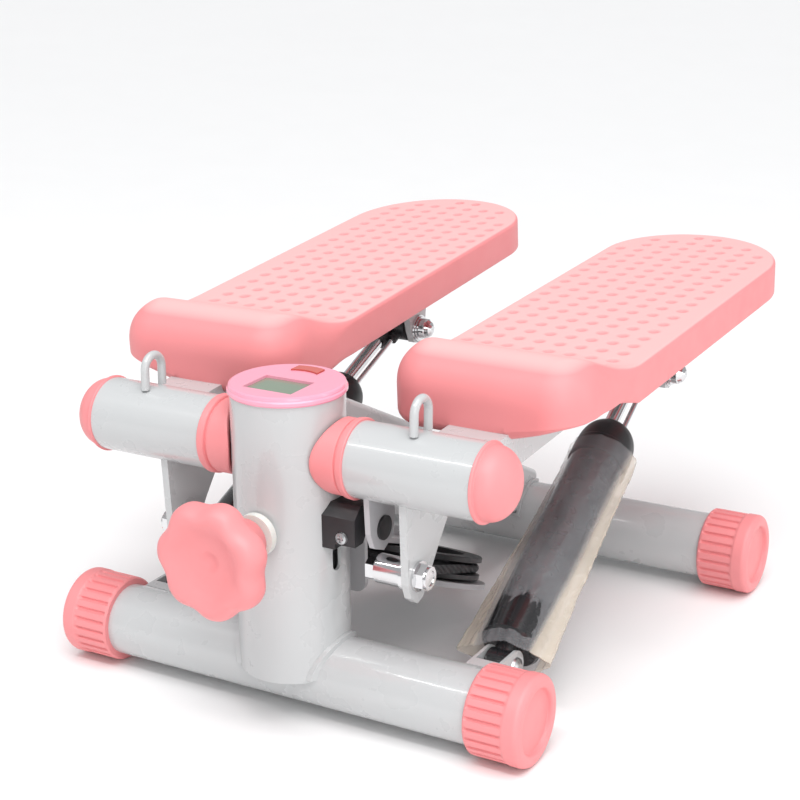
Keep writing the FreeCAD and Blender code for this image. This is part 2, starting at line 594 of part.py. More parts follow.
def plan_outline(inset):
    """Plan view of the pedal cover: rounded front corners and a rear end fuller on its inner side."""
    w = PEDAL_W / 2 - inset
    y0 = PEDAL_FRONT - 0.5 + inset
    y1 = PEDAL_REAR - inset
    c = PEDAL_CORNER - inset
    k = c * (1 - math.sqrt(0.5))
    left_front = Part.Arc(V(-w, y0 + c, 0), V(-w + k, y0 + k, 0), V(-w + c, y0, 0)).toShape()
    front = Part.LineSegment(V(-w + c, y0, 0), V(w - c, y0, 0)).toShape()
    right_front = Part.Arc(V(w - c, y0, 0), V(w - k, y0 + k, 0), V(w, y0 + c, 0)).toShape()
    right = Part.LineSegment(V(w, y0 + c, 0), V(w, OUTER_KNEE, 0)).toShape()
    outer = Part.Ellipse(V(REAR_TIP_X, y1, 0), V(w, OUTER_KNEE, 0), V(REAR_TIP_X, OUTER_KNEE, 0))
    outer = Part.ArcOfEllipse(outer, 0, math.pi / 2).toShape()
    inner = Part.Ellipse(V(REAR_TIP_X, y1, 0), V(-w, INNER_KNEE, 0), V(REAR_TIP_X, INNER_KNEE, 0))
    inner = Part.ArcOfEllipse(inner, 0, math.pi / 2).toShape()
    left = Part.LineSegment(V(-w, INNER_KNEE, 0), V(-w, y0 + c, 0)).toShape()
    return Part.Wire([left_front, front, right_front, right, outer, inner, left])


def pedal_block(inset):
    nose = Part.Face(nose_line(inset)).extrude(V(PEDAL_W + 20, 0, 0))
    nose.translate(V(-PEDAL_W / 2 - 10, 0, 0))
    plan = Part.Face(plan_outline(inset)).extrude(V(0, 0, 60))
    plan.translate(V(0, 0, -10))
    return nose.common(plan)


def corner_relief():
    """The wedge below the nose where its lower edge climbs towards the outer corner."""
    wires = []
    for y, high in ((30.0, 16.0), (84.0, 15.0), (132.0, PEDAL_SKIRT)):
        loop = [V(6.0, y, -14.0), V(70.0, y, -14.0), V(70.0, y, high), V(6.0, y, NOSE_LOW)]
        wires.append(Part.makePolygon(loop + loop[:1]))
    return Part.makeLoft(wires, True, True)


def make_cover():
    """The moulded footplate: a shell open below, resting on the arm by four screw bosses, with a mouth for the arm."""
    outer = pedal_block(0.0)
    inner = pedal_block(PEDAL_SKIN)
    under = box(-PEDAL_W, PEDAL_W, 0, 500, -30, PEDAL_SKIRT + 0.01)
    cavity = inner.fuse(inner.common(under).translated(V(0, 0, -3)))
    shell = outer.cut(cavity).cut(corner_relief())
    shift = ARM_MID_X - PEDAL_MID_X
    bosses = [cyl(5.0, V(shift, y, ARM_WEB), V(0, 0, 1), HUMP_TOP).common(outer) for y in SCREW_Y]
    cover = shell.fuse(bosses).removeSplitter()
    cover.rotate(V(0, 0, 0), V(0, 0, 1), -PEDAL_TOE)
    toe = math.radians(PEDAL_TOE)
    cover.translate(V(PEDAL_MID_X + TOE_CENTRE * (math.tan(toe) - math.sin(toe)), 0, 0))
    mouth = box(ARM_MID_X - ARM_HALF - 0.4, ARM_MID_X + ARM_HALF + 0.4, 30, 104, -20, ARM_WEB)
    cover = cover.cut(mouth)
    return cover.cut([cyl(1.9, V(ARM_MID_X, y, 0), V(0, 0, 1), ARM_WEB + 12) for y in SCREW_Y])


def make_pedal_screws():
    screws = []
    for y in SCREW_Y:
        head = revolve([(0, 0), (0, 4.0), (1.2, 3.8), (2.4, 2.2), (2.4, 0)],
                       V(ARM_MID_X, y, ARM_WEB - 3.0), V(0, 0, -1))
        shank = cyl(1.9, V(ARM_MID_X, y, ARM_WEB - 3.5), V(0, 0, 1), 14.0)
        screws.append(head.fuse(shank).removeSplitter())
    return Part.makeCompound(screws)


def make_pedal_bolts(nut_side):
    """The lever bolt and the bolt through the rod yoke; nut_side is the yoke nut's side in local X."""
    x0 = ARM_MID_X - ARM_HALF
    lever = along_x(PIN_R, 50.5, x0 + ARM_T + 6.5, 0, -LEVER_BOLT_DROP)
    lever = lever.fuse(hexagon(12.0, V(50.5, 0, -LEVER_BOLT_DROP), V(-1, 0, 0), 4.6))
    lever = swing_lever(lever)
    yoke = along_x(PIN_R, ARM_MID_X - ARM_HALF - 0.5, ARM_MID_X + ARM_HALF + 5.5, PIN_Y, -PIN_DROP)
    head = revolve([(0, 0), (0, 7.0), (1.6, 7.0), (4.4, 4.4), (4.9, 0)],
                   V(ARM_MID_X - ARM_HALF, PIN_Y, -PIN_DROP), V(-1, 0, 0))
    yoke = yoke.fuse(head)
    if nut_side < 0:
        yoke = yoke.mirror(V(ARM_MID_X, 0, 0), V(1, 0, 0))
    return Part.makeCompound([lever, yoke])


def make_pedal_nuts(nut_side):
    x0 = ARM_MID_X - ARM_HALF + ARM_T
    x1 = ARM_MID_X + ARM_HALF
    washer = along_x(7.6, x0, x0 + 1.4, 0, -LEVER_BOLT_DROP)
    lever = hexagon(12.0, V(x0 + 1.4, 0, -LEVER_BOLT_DROP), V(1, 0, 0), 4.4)
    ring = along_x(5.6, x0 + 5.8, x0 + 7.0, 0, -LEVER_BOLT_DROP)
    lever = washer.fuse(lever).fuse(ring).cut(along_x(PIN_R, x0 - 1, x0 + 20, 0, -LEVER_BOLT_DROP))
    lever = swing_lever(lever)
    yoke = revolve([(0, 0), (0, 8.2), (1.5, 8.2), (1.5, 7.4), (2.8, 7.4), (2.8, 6.3), (6.6, 6.3), (7.0, 5.6),
                    (9.2, 4.4), (10.4, 2.2), (10.7, 0)], V(x1, PIN_Y, -PIN_DROP), V(1, 0, 0))
    yoke = yoke.cut(along_x(PIN_R, x1 - 1, x1 + 5.6, PIN_Y, -PIN_DROP))
    if nut_side < 0:
        yoke = yoke.mirror(V(ARM_MID_X, 0, 0), V(1, 0, 0))
    return Part.makeCompound([lever, yoke])


def make_terminal(side):
    """The swivel eye on the lever bolt, with the crimped socket that the rope ends in."""
    x0 = ARM_MID_X - ARM_HALF
    eye = along_x(7.4, 51.0, x0 - 0.4)
    collar = along_x(8.6, x0 - 2.6, x0 - 0.4)
    back = rope_path()[3]
    away = V(-back[0], -back[1], 0)
    start = V(ROPE_END_X, 0, 0)
    crimp = cyl(5.0, start, away, 26.0)
    crimp = crimp.fuse(cyl(5.4, start + away * 22.0, away, 4.0))
    body = eye.fuse(collar).fuse(crimp)
    body = body.cut(cyl(ROPE_R + ROPE_PLAY, start + away * 10.0, away, 20.0))
    body = body.cut(along_x(PIN_R + RUN_CLEAR, 40, 90))
    body.rotate(V(0, 0, 0), V(1, 0, 0), -WHEEL_TILT)
    if side < 0:
        body = mirror_x(body)
    body.translate(lever_point(side))
    return body


def make_magnet_lug():
    outline = [(-11.4, -8.0), (-11.0, -34.0), (-7.6, -42.6), (0.8, -46.6), (9.2, -42.6), (12.4, -34.0), (12.8, -8.0)]
    lug = plate_yz(outline, 48.6, 51.6)
    lug = lug.cut(along_x(TUBE_R, 0, 100))
    return lug.cut(along_x(5.2, 40, 60, 1.2, -34.6))


def make_magnet():
    disc = along_x(5.2, 47.9, 52.4, 1.2, -34.6)
    return disc.fuse(along_x(6.2, 51.6, 52.8, 1.2, -34.6)).removeSplitter()


# ---- hydraulic cylinder, drawn along +Y from its lower eye -------------------------------------------------

def pin_point(side):
    t = math.radians(TILT[side])
    y = PIN_Y * math.cos(t) + PIN_DROP * math.sin(t)
    z = AXLE_Z + PIN_Y * math.sin(t) - PIN_DROP * math.cos(t)
    return V(side * ARM_MID_X, y, z)


def foot_point(side):
    return V(side * FOOT_X, FOOT_Y, FOOT_Z)


def cylinder_frame(side):
    """Placement that takes local X to the hinge axis as nearly as the lean allows, and local Y to the axis."""
    foot = foot_point(side)
    ahead = (pin_point(side) - foot).normalize()
    across = V(1, 0, 0) - ahead * ahead.x
    across.normalize()
    up = across.cross(ahead)
    m = FreeCAD.Matrix(across.x, ahead.x, up.x, foot.x, across.y, ahead.y, up.y, foot.y,
                       across.z, ahead.z, up.z, foot.z, 0, 0, 0, 1)
    return FreeCAD.Placement(m)


def lean(side):
    """How far the cylinder leans sideways out of the hinge's plane, in degrees."""
    ahead = (pin_point(side) - foot_point(side)).normalize()
    return math.degrees(math.asin(ahead.x))


def set_in(shape, side):
    out = shape.copy()
    out.Placement = cylinder_frame(side).multiply(out.Placement)
    return out


def eye_at(side, radius, half, shape_y):
    """A barrel on the hinge axis itself, square to X in the machine and not to the leaning cylinder."""
    barrel = along_x(radius, -half, half)
    barrel.rotate(V(0, 0, 0), V(0, 0, 1), lean(side))
    barrel.translate(V(0, shape_y, 0))
    return barrel


def make_cylinder(side):
    body = revolve([(BODY_START, 0), (BODY_START, BODY_R - 1.4), (BODY_START + 1.4, BODY_R),
                    (CYL_CAP_START, BODY_R), (CYL_CAP_START, BODY_R - 1.2), (BODY_END + 12, BODY_R - 1.2),
                    (BODY_END + 12, 0)], V(0, 0, 0), V(0, 1, 0))
    neck = cyl(7.0, V(0, 0, 0), V(0, 1, 0), BODY_START + 1)
    neck = neck.common(box(-5.2, 5.2, -20, 30, -20, 20))
    eye = eye_at(side, 8.6, 6.0, 0.0)
    body = body.fuse(neck).fuse(eye).removeSplitter()
    body = body.cut(eye_at(side, PIN_R + RUN_CLEAR, 20.0, 0.0))
    body = body.cut(cyl(ROD_R + RUN_CLEAR, V(ROD_X, 60, 0), V(0, 1, 0), 200))
    return body.cut(cyl(GUIDE_R + RUN_CLEAR, V(GUIDE_X, 60, 0), V(0, 1, 0), 200))


def make_cylinder_cap():
    s = CYL_CAP_START
    cap = revolve([(s, BODY_R - 1.2), (s, CYL_CAP_R - 0.6), (s + 0.8, CYL_CAP_R), (s + 13.0, CYL_CAP_R),
                   (s + 19.0, CYL_CAP_R - 1.0), (s + 25.0, CYL_CAP_R - 3.8), (s + 30.0, CYL_CAP_R - 8.2),
                   (CYL_CAP_END - 0.8, CYL_CAP_R - 12.0), (CYL_CAP_END, 0), (BODY_END + 12, 0),
                   (BODY_END + 12, BODY_R - 1.2)], V(0, 0, 0), V(0, 1, 0))
    cap = cap.cut(cyl(ROD_R + RUN_CLEAR, V(ROD_X, 60, 0), V(0, 1, 0), 200))
    return cap.cut(cyl(GUIDE_R + RUN_CLEAR, V(GUIDE_X, 60, 0), V(0, 1, 0), 200))


def make_rods(side):
    length = (pin_point(side) - foot_point(side)).Length
    rod = cyl(ROD_R, V(ROD_X, 108, 0), V(0, 1, 0), length - 6.0 - 108)
    guide = cyl(GUIDE_R, V(GUIDE_X, 118, 0), V(0, 1, 0), length - 6.0 - 118)
    return Part.makeCompound([rod, guide])


def make_yoke(side):
    length = (pin_point(side) - foot_point(side)).Length
    barrel = eye_at(side, YOKE_R, YOKE_HALF, length)
    socket = cyl(6.6, V(ROD_X, length - 17.0, 0), V(0, 1, 0), 14.0)
    stub = cyl(3.2, V(GUIDE_X, length - 14.0, 0), V(0, 1, 0), 10.0)
    yoke = barrel.fuse(socket).fuse(stub).removeSplitter()
    yoke = yoke.cut(cyl(ROD_R, V(ROD_X, 100, 0), V(0, 1, 0), length - 6.0 - 100))
    yoke = yoke.cut(cyl(GUIDE_R, V(GUIDE_X, 100, 0), V(0, 1, 0), length - 6.0 - 100))
    return yoke.cut(eye_at(side, PIN_R + PIN_PLAY, 40.0, length))


def make_film():
    """The thin bag left on the right cylinder: a flattened tube, open at both ends."""
    def ring(y, a, b):
        curve = Part.Ellipse(V(0, 0, 0), a, b).toShape()
        wire = Part.Wire(curve)
        wire.rotate(V(0, 0, 0), V(1, 0, 0), 90)
        wire.translate(V(0, y, 0))
        return wire
    stations = [(14.0, 21.0, 17.4), (60.0, 20.2, 17.0), (105.0, 20.0, 16.9), (147.0, 18.6, 17.2)]
    outer = Part.makeLoft([ring(y, a, b) for y, a, b in stations], True)
    inner = Part.makeLoft([ring(y, a - 0.4, b - 0.4) for y, a, b in stations], True)
    return outer.cut(inner)


def main():
    os.makedirs("parts", exist_ok=True)
    export("column_tube", make_column())
    export("front_crossbar", make_bar(FRONT_HALF, 0.0))
    export("rear_crossbar", make_bar(REAR_HALF, REAR_Y))
    export("main_beam", make_beam())
    export("foot_cap_front_right", make_foot_cap(FRONT_HALF, 0.0, 1))
    export("foot_cap_front_left", make_foot_cap(FRONT_HALF, 0.0, -1))
    export("foot_cap_rear_right", make_foot_cap(REAR_HALF, REAR_Y, 1))
    export("foot_cap_rear_left", make_foot_cap(REAR_HALF, REAR_Y, -1))
    export("weld_beads", make_welds())
    export("pivot_axle", make_axle())
    export("axle_nuts", make_axle_nuts())
    export("foot_bracket_right", make_foot_bracket(1))
    export("foot_bracket_left", make_foot_bracket(-1))
    export("foot_pins", make_foot_pins())
    export("display_housing", make_display_housing())
    export("display_screen", make_display_screen())
    export("display_button", make_display_button())
    export("sensor_housing", make_sensor())
    export("sensor_screw", make_sensor_screw())
    export("adjuster_collar", make_collar())
    export("adjuster_knob", make_knob())
    export("adjuster_stud", make_stud())
    export("guide_rod", make_guide_rod())
    export("pulley_carriage", make_carriage())
    export("pulley_bolt", make_wheel_bolt())
    export("rope_pulley", make_wheel())
    export("balance_rope", make_rope())
    for side, name in ((1, "right"), (-1, "left")):
        export("sleeve_" + name, place(make_sleeve(), side))
        export("inner_bush_" + name, place(make_inner_bush(), side))
        export("outer_bush_" + name, place(make_outer_bush(), side))
        export("dome_cap_" + name, place(make_dome(), side))
        export("eyelet_" + name, place(make_eyelet(side), side))
        export("pedal_arm_" + name, place(make_arm(), side))
        export("pedal_cover_" + name, place(make_cover(), side))
        export("pedal_screws_" + name, place(make_pedal_screws(), side))
        export("pedal_bolts_" + name, place(make_pedal_bolts(side), side))
        export("pedal_nuts_" + name, place(make_pedal_nuts(side), side))
        export("rope_terminal_" + name, make_terminal(side))
        export("cylinder_" + name, set_in(make_cylinder(side), side))
        export("cylinder_cap_" + name, set_in(make_cylinder_cap(), side))
        export("rods_" + name, set_in(make_rods(side), side))
        export("rod_yoke_" + name, set_in(make_yoke(side), side))
    export("magnet_lug", place(make_magnet_lug(), 1))
    export("magnet", place(make_magnet(), 1))
    export("cylinder_film", set_in(make_film(), 1))


main()
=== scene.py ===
import json
import math

import bpy
from mathutils import Matrix, Vector, noise


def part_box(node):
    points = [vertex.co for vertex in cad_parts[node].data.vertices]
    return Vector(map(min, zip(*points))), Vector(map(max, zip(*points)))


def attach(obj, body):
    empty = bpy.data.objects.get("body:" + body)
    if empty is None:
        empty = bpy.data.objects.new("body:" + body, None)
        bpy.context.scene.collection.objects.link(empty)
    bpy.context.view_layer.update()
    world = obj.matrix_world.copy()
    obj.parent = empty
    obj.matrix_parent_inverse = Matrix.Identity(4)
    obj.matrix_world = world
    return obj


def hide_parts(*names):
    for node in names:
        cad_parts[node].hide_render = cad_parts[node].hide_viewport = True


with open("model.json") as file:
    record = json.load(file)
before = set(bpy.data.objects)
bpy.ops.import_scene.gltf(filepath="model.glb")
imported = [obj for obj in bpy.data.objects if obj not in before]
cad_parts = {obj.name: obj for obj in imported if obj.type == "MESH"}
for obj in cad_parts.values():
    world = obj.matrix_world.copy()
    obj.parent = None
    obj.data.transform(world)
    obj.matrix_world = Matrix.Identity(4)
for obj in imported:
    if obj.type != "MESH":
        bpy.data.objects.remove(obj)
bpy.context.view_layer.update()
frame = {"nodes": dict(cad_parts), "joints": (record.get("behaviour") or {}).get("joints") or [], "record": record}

# Metres, +Z up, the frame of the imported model. Lengths written with MM are the design's millimetres.
MM = 0.001
NODES = frame["nodes"]
JOINTS = {joint["name"]: joint for joint in frame["joints"]}
SIDES = (("right", 1), ("left", -1))

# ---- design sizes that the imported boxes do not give, in millimetres and degrees ------------------------------
PEDAL_TILT = {"right": 2.64, "left": 3.86}
PEDAL_TOE = 0.86
PEDAL_MID_X = 83.2
TOE_CENTRE = 210.0
PEDAL_HALF = 54.4
PEDAL_FRONT = 39.5
PEDAL_REAR = 363.8
PEDAL_CORNER = 22.0
INNER_KNEE = 312.0
OUTER_KNEE = 302.0
REAR_TIP_X = -3.0
NOSE_LOW = 2.0
PEDAL_SKIRT = 6.0
PEDAL_TOP = 25.6
HUMP_TOP = 42.0
PEDAL_SKIN = 2.8
ARM_MID_X = 84.5
ARM_WEB = 8.0
SCREW_Y = (90.0, 160.0, 215.0, 285.0)
COLUMN_R = 28.6
TUBE_R = 19.05
CAP_RIBS = 26
KNOB_LOBES = 7


# ---- materials ----------------------------------------------------------------------------------------------
# A noise pattern keeps mostly between these two values.
PATTERN_LOW = 0.3
PATTERN_HIGH = 0.7
PINK = (0.82, 0.272, 0.282)
# Painted light: the footplate's faces that point up are painted this paler pink, standing in for light from above.
TOP_LIGHT_PINK = (0.95, 0.52, 0.51)
# Painted shade: the dimples are painted this plain pink, darker than the painted top light, standing in for shade
# in the recesses.
DIMPLE_SHADE_PINK = (0.80, 0.285, 0.295)
TOP_LIGHT_START = 0.80
TOP_LIGHT_FULL = 0.995
TOP_LIGHT_MOST = 0.80
FOLD_CREAM = (0.86, 0.78, 0.66)
FOLD_DENSITY = 0.26
FILM_DENSITY = (0.10, 0.17)
BRAID_SCALE = 180
BRAID_UNEVEN = 1.5


def new_material(name):
    mat = bpy.data.materials.new(name)
    mat.use_nodes = True
    nodes = mat.node_tree.nodes
    shader = nodes["Principled BSDF"]
    place = nodes.new("ShaderNodeTexCoord").outputs["Object"]
    return mat, shader, place


def noise_of(mat, place, scale, detail=4.0, stretch=None):
    """A noise pattern with features about 1 / scale metres across, stretched along an axis if asked."""
    tree = mat.node_tree
    if stretch:
        mapping = tree.nodes.new("ShaderNodeMapping")
        mapping.inputs["Scale"].default_value = stretch
        tree.links.new(place, mapping.inputs["Vector"])
        place = mapping.outputs["Vector"]
    tex = tree.nodes.new("ShaderNodeTexNoise")
    tex.inputs["Scale"].default_value = scale
    tex.inputs["Detail"].default_value = detail
    tree.links.new(place, tex.inputs["Vector"])
    return tex.outputs["Fac"]


def spread(mat, value, low, high):
    """Maps the middle of a 0 to 1 pattern to low..high."""
    tree = mat.node_tree
    node = tree.nodes.new("ShaderNodeMapRange")
    node.inputs["From Min"].default_value = PATTERN_LOW
    node.inputs["From Max"].default_value = PATTERN_HIGH
    node.inputs["To Min"].default_value = low
    node.inputs["To Max"].default_value = high
    tree.links.new(value, node.inputs["Value"])
    return node.outputs["Result"]


def two_tone(mat, value, dark, light):
    """Blends from dark to light over the middle of a 0 to 1 pattern."""
    tree = mat.node_tree
    ramp = tree.nodes.new("ShaderNodeValToRGB")
    ramp.color_ramp.elements[0].position = PATTERN_LOW
    ramp.color_ramp.elements[0].color = (*dark, 1)
    ramp.color_ramp.elements[1].position = PATTERN_HIGH
    ramp.color_ramp.elements[1].color = (*light, 1)
    tree.links.new(value, ramp.inputs["Fac"])
    return ramp.outputs["Color"]


def add_bump(mat, shader, height, strength, depth):
    tree = mat.node_tree
    bump = tree.nodes.new("ShaderNodeBump")
    bump.inputs["Strength"].default_value = strength
    bump.inputs["Distance"].default_value = depth
    tree.links.new(height, bump.inputs["Height"])
    tree.links.new(bump.outputs["Normal"], shader.inputs["Normal"])


def attribute_of(mat, name):
    """The value of a mesh's own point attribute."""
    node = mat.node_tree.nodes.new("ShaderNodeAttribute")
    node.attribute_name = name
    return node.outputs["Fac"]


def tint_by(mat, share, under, color):
    """Lays a colour over another by a 0 to 1 share."""
    tree = mat.node_tree
    mix = tree.nodes.new("ShaderNodeMix")
    mix.data_type = "RGBA"
    tree.links.new(share, mix.inputs["Factor"])
    tree.links.new(under, mix.inputs["A"])
    mix.inputs["B"].default_value = (*color, 1)
    return mix.outputs["Result"]


def finish_of(name, color, drift, rough, blotch, grain, strength, depth, stretch=None, **sockets):
    """A surface whose colour drifts by drift either way, whose roughness runs over rough, with a fine relief.

    blotch and grain are the scales of the colour and the relief; sockets are further shader inputs by name."""
    mat, shader, place = new_material(name)
    dark = tuple(c * (1 - drift) for c in color)
    light = tuple(min(1.0, c * (1 + drift)) for c in color)
    large = noise_of(mat, place, blotch, 3.0)
    tree = mat.node_tree
    tree.links.new(two_tone(mat, large, dark, light), shader.inputs["Base Color"])
    medium = noise_of(mat, place, blotch * 6, 5.0, stretch)
    tree.links.new(spread(mat, medium, *rough), shader.inputs["Roughness"])
    add_bump(mat, shader, noise_of(mat, place, grain, 2.0, stretch), strength, depth)
    for key, value in sockets.items():
        shader.inputs[key.replace("_", " ")].default_value = value
    return mat


def make_film_material():
    """Cloudy polythene: thin, glossy and nearly clear, denser and cream where it is folded flat."""
    mat = finish_of("clear_film", (0.62, 0.63, 0.66), 0.05, (0.14, 0.30), 30, 420, 0.35, 0.0006,
                    Specular_IOR_Level=0.7)
    tree = mat.node_tree
    shader = tree.nodes["Principled BSDF"]
    plain = shader.inputs["Base Color"].links[0].from_socket
    place = tree.nodes["Texture Coordinate"].outputs["Object"]
    fold = attribute_of(mat, "fold")
    tree.links.new(tint_by(mat, fold, plain, FOLD_CREAM), shader.inputs["Base Color"])
    cloud = noise_of(mat, place, 55, 5.0, (1.0, 0.5, 1.0))
    density = tree.nodes.new("ShaderNodeMath")
    density.operation = "MULTIPLY_ADD"
    tree.links.new(fold, density.inputs[0])
    density.inputs[1].default_value = FOLD_DENSITY
    tree.links.new(spread(mat, cloud, *FILM_DENSITY), density.inputs[2])
    tree.links.new(density.outputs["Value"], shader.inputs["Alpha"])
    return mat


def make_rope_material():
    """Black braided cord: fine uneven diagonal ridges."""
    mat = finish_of("black_rope", (0.018, 0.018, 0.02), 0.25, (0.5, 0.7), 200, 900, 0.3, 0.0003)
    tree = mat.node_tree
    shader = tree.nodes["Principled BSDF"]
    place = tree.nodes["Texture Coordinate"].outputs["Object"]
    wave = tree.nodes.new("ShaderNodeTexWave")
    wave.bands_direction = "DIAGONAL"
    wave.inputs["Scale"].default_value = BRAID_SCALE
    wave.inputs["Distortion"].default_value = BRAID_UNEVEN
    tree.links.new(place, wave.inputs["Vector"])
    add_bump(mat, shader, wave.outputs["Fac"], 0.8, 0.0006)
    return mat


def make_tread_material():
    """The footplate's plastic: painted light makes its upward faces paler, and painted shade leaves the plain,
    darker pink in its dimples.
    """
    mat = finish_of("pink_tread", PINK, 0.02, (0.42, 0.54), 14, 1500, 0.12, 0.00012,
                    Specular_IOR_Level=0.45)
    tree = mat.node_tree
    shader = tree.nodes["Principled BSDF"]
    plain = shader.inputs["Base Color"].links[0].from_socket
    # Painted light: faces that point up are blended toward the paler pink by how far up they face.
    geometry = tree.nodes.new("ShaderNodeNewGeometry")
    split = tree.nodes.new("ShaderNodeSeparateXYZ")
    tree.links.new(geometry.outputs["Normal"], split.inputs["Vector"])
    facing = tree.nodes.new("ShaderNodeMapRange")
    facing.inputs["From Min"].default_value = TOP_LIGHT_START
    facing.inputs["From Max"].default_value = TOP_LIGHT_FULL
    facing.inputs["To Max"].default_value = TOP_LIGHT_MOST
    tree.links.new(split.outputs["Z"], facing.inputs["Value"])
    painted_top_light = tint_by(mat, facing.outputs["Result"], plain, TOP_LIGHT_PINK)
    # Painted shade: the dimples are turned back to the plain, darker pink.
    dimple_shaded = tint_by(mat, attribute_of(mat, "dimple"), painted_top_light, DIMPLE_SHADE_PINK)
    tree.links.new(dimple_shaded, shader.inputs["Base Color"])
    return mat


# Name: colour, drift, roughness, blotch, grain, relief's strength and depth, and further shader inputs.
FINISHES = {
    "white_paint": ((0.52, 0.532, 0.537), 0.004, (0.26, 0.30), 9, 520, 0.03, 0.0001,
                    {"Coat_Weight": 0.6, "Coat_Roughness": 0.06}),
    "pink_plastic": (PINK, 0.02, (0.40, 0.50), 18, 1500, 0.12, 0.0001, {"Specular_IOR_Level": 0.45}),
    "pink_gloss": ((0.90, 0.36, 0.48), 0.015, (0.16, 0.26), 25, 900, 0.05, 0.00008, {"Coat_Weight": 0.3}),
    "red_button": ((0.62, 0.10, 0.075), 0.06, (0.15, 0.25), 60, 700, 0.05, 0.00008, {"Coat_Weight": 0.4}),
    "lcd": ((0.20, 0.265, 0.185), 0.04, (0.10, 0.16), 40, 500, 0.02, 0.00005,
            {"Coat_Weight": 0.6, "Coat_Roughness": 0.05}),
    "black_plastic": ((0.020, 0.020, 0.022), 0.15, (0.34, 0.48), 40, 1300, 0.2, 0.0001, {}),
    "black_steel": ((0.016, 0.016, 0.018), 0.15, (0.20, 0.30), 30, 600, 0.06, 0.00008,
                    {"Coat_Weight": 0.5, "Coat_Roughness": 0.1}),
    "chrome": ((0.72, 0.72, 0.73), 0.03, (0.08, 0.18), 60, 900, 0.04, 0.00005, {"Metallic": 1.0}),
    "zinc_steel": ((0.52, 0.53, 0.54), 0.07, (0.26, 0.42), 90, 1100, 0.12, 0.00008, {"Metallic": 1.0}),
    "grey_steel": ((0.46, 0.455, 0.47), 0.02, (0.32, 0.42), 30, 700, 0.08, 0.0001, {}),
    "nylon": ((0.74, 0.73, 0.69), 0.02, (0.40, 0.52), 40, 1200, 0.1, 0.0001, {"Subsurface_Weight": 0.1}),
}


def make_materials():
    made = {name: finish_of(name, *sizes, **sockets) for name, (*sizes, sockets) in FINISHES.items()}
    made["pink_tread"] = make_tread_material()
    made["black_rope"] = make_rope_material()
    made["clear_film"] = make_film_material()
    return made


MATERIALS = make_materials()


def dress_cad_nodes():
    """Gives each carried-over CAD node the material of its slot."""
    for part in frame["record"]["subparts"]:
        node = NODES[part["node"]]
        for slot in node.material_slots:
            slot.material = MATERIALS[part["material_slot"]]


# ---- mesh helpers -------------------------------------------------------------------------------------------

def make_piece(name, verts, faces, slot, body, nodes, crease=38.0):
    """A closed mesh in metres, smooth but for edges sharper than crease, riding on body in place of nodes."""
    mesh = bpy.data.meshes.new(name)
    mesh.from_pydata([tuple(v) for v in verts], [], faces)
    mesh.validate()
    mesh.update()
    mesh.polygons.foreach_set("use_smooth", [True] * len(mesh.polygons))
    mesh.set_sharp_from_angle(angle=math.radians(crease))
    piece = bpy.data.objects.new(name, mesh)
    bpy.context.scene.collection.objects.link(piece)
    mesh.materials.append(MATERIALS[slot])
    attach(piece, body)
    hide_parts(*nodes)
    return piece


def smoothstep(low, high, value):
    """0 below low, 1 above high, and a smooth climb between."""
    t = min(1.0, max(0.0, (value - low) / (high - low)))
    return t * t * (3 - 2 * t)


def soften(profile, radius, steps=4):
    """Rounds the corners of a profile, all but its first and last points."""
    out = [profile[0]]
    for before, corner, after in zip(profile, profile[1:], profile[2:]):
        b = Vector(before) - Vector(corner)
        a = Vector(after) - Vector(corner)
        cut_b = min(radius, 0.45 * b.length)
        cut_a = min(radius, 0.45 * a.length)
        start = Vector(corner) + b.normalized() * cut_b
        end = Vector(corner) + a.normalized() * cut_a
        for k in range(steps + 1):
            t = k / steps
            out.append(tuple(start * (1 - t) ** 2 + Vector(corner) * 2 * t * (1 - t) + end * t ** 2))
    out.append(profile[-1])
    return out


def oval(start, end, steps, power=2.0):
    """Profile points of a dome's quarter oval from start, (along, radius), to its tip on the axis at end."""
    points = []
    for k in range(steps + 1):
        a = math.pi / 2 * k / steps
        along = start[0] + (end - start[0]) * math.sin(a) ** (2 / power)
        points.append((along, start[1] * math.cos(a) ** (2 / power)))
    points[-1] = (end, 0.0)
    return points


def frame_on(axis):
    """The axis and two directions square to it and to each other."""
    axis = Vector(axis).normalized()
    side = axis.cross(Vector((0, 0, 1)))
    if side.length < 1e-4:
        side = Vector((1, 0, 0))
    side.normalize()
    return axis, side, axis.cross(side)


def lathe(profile, origin, axis, segments, ripple=None):
    """Verts and faces of a turned shape: profile holds (along, radius), and ripple(along, radius, angle) gives
    the radius at an angle."""
    axis, u, v = frame_on(axis)
    origin = Vector(origin)
    verts = []
    rings = []
    for along, radius in profile:
        if radius < 1e-7:
            rings.append([len(verts)] * segments)
            verts.append(origin + axis * along)
            continue
        ring = []
        for k in range(segments):
            a = 2 * math.pi * k / segments
            r = ripple(along, radius, a) if ripple else radius
            ring.append(len(verts))
            verts.append(origin + axis * along + (u * math.cos(a) + v * math.sin(a)) * r)
        rings.append(ring)
    faces = []
    for near, far in zip(rings, rings[1:]):
        for k in range(segments):
            n = (k + 1) % segments
            quad = []
            for index in (near[k], near[n], far[n], far[k]):
                if index not in quad:
                    quad.append(index)
            if len(quad) > 2:
                faces.append(tuple(quad))
    return verts, faces


# ---- pedal covers -------------------------------------------------------------------------------------------

def half_width(y, side):
    """Distance from the middle line to the footplate's edge at y, on its outer (1) or inner (-1) side."""
    front = y - PEDAL_FRONT
    if front < PEDAL_CORNER:
        reach = math.sqrt(max(0.0, PEDAL_CORNER ** 2 - (PEDAL_CORNER - front) ** 2))
        return PEDAL_HALF - PEDAL_CORNER + reach
    knee = OUTER_KNEE if side > 0 else INNER_KNEE
    if y <= knee:
        return PEDAL_HALF
    share = (y - knee) / (PEDAL_REAR - knee)
    tip = side * REAR_TIP_X
    return tip + (PEDAL_HALF - tip) * math.sqrt(max(0.0, 1 - share ** 2))


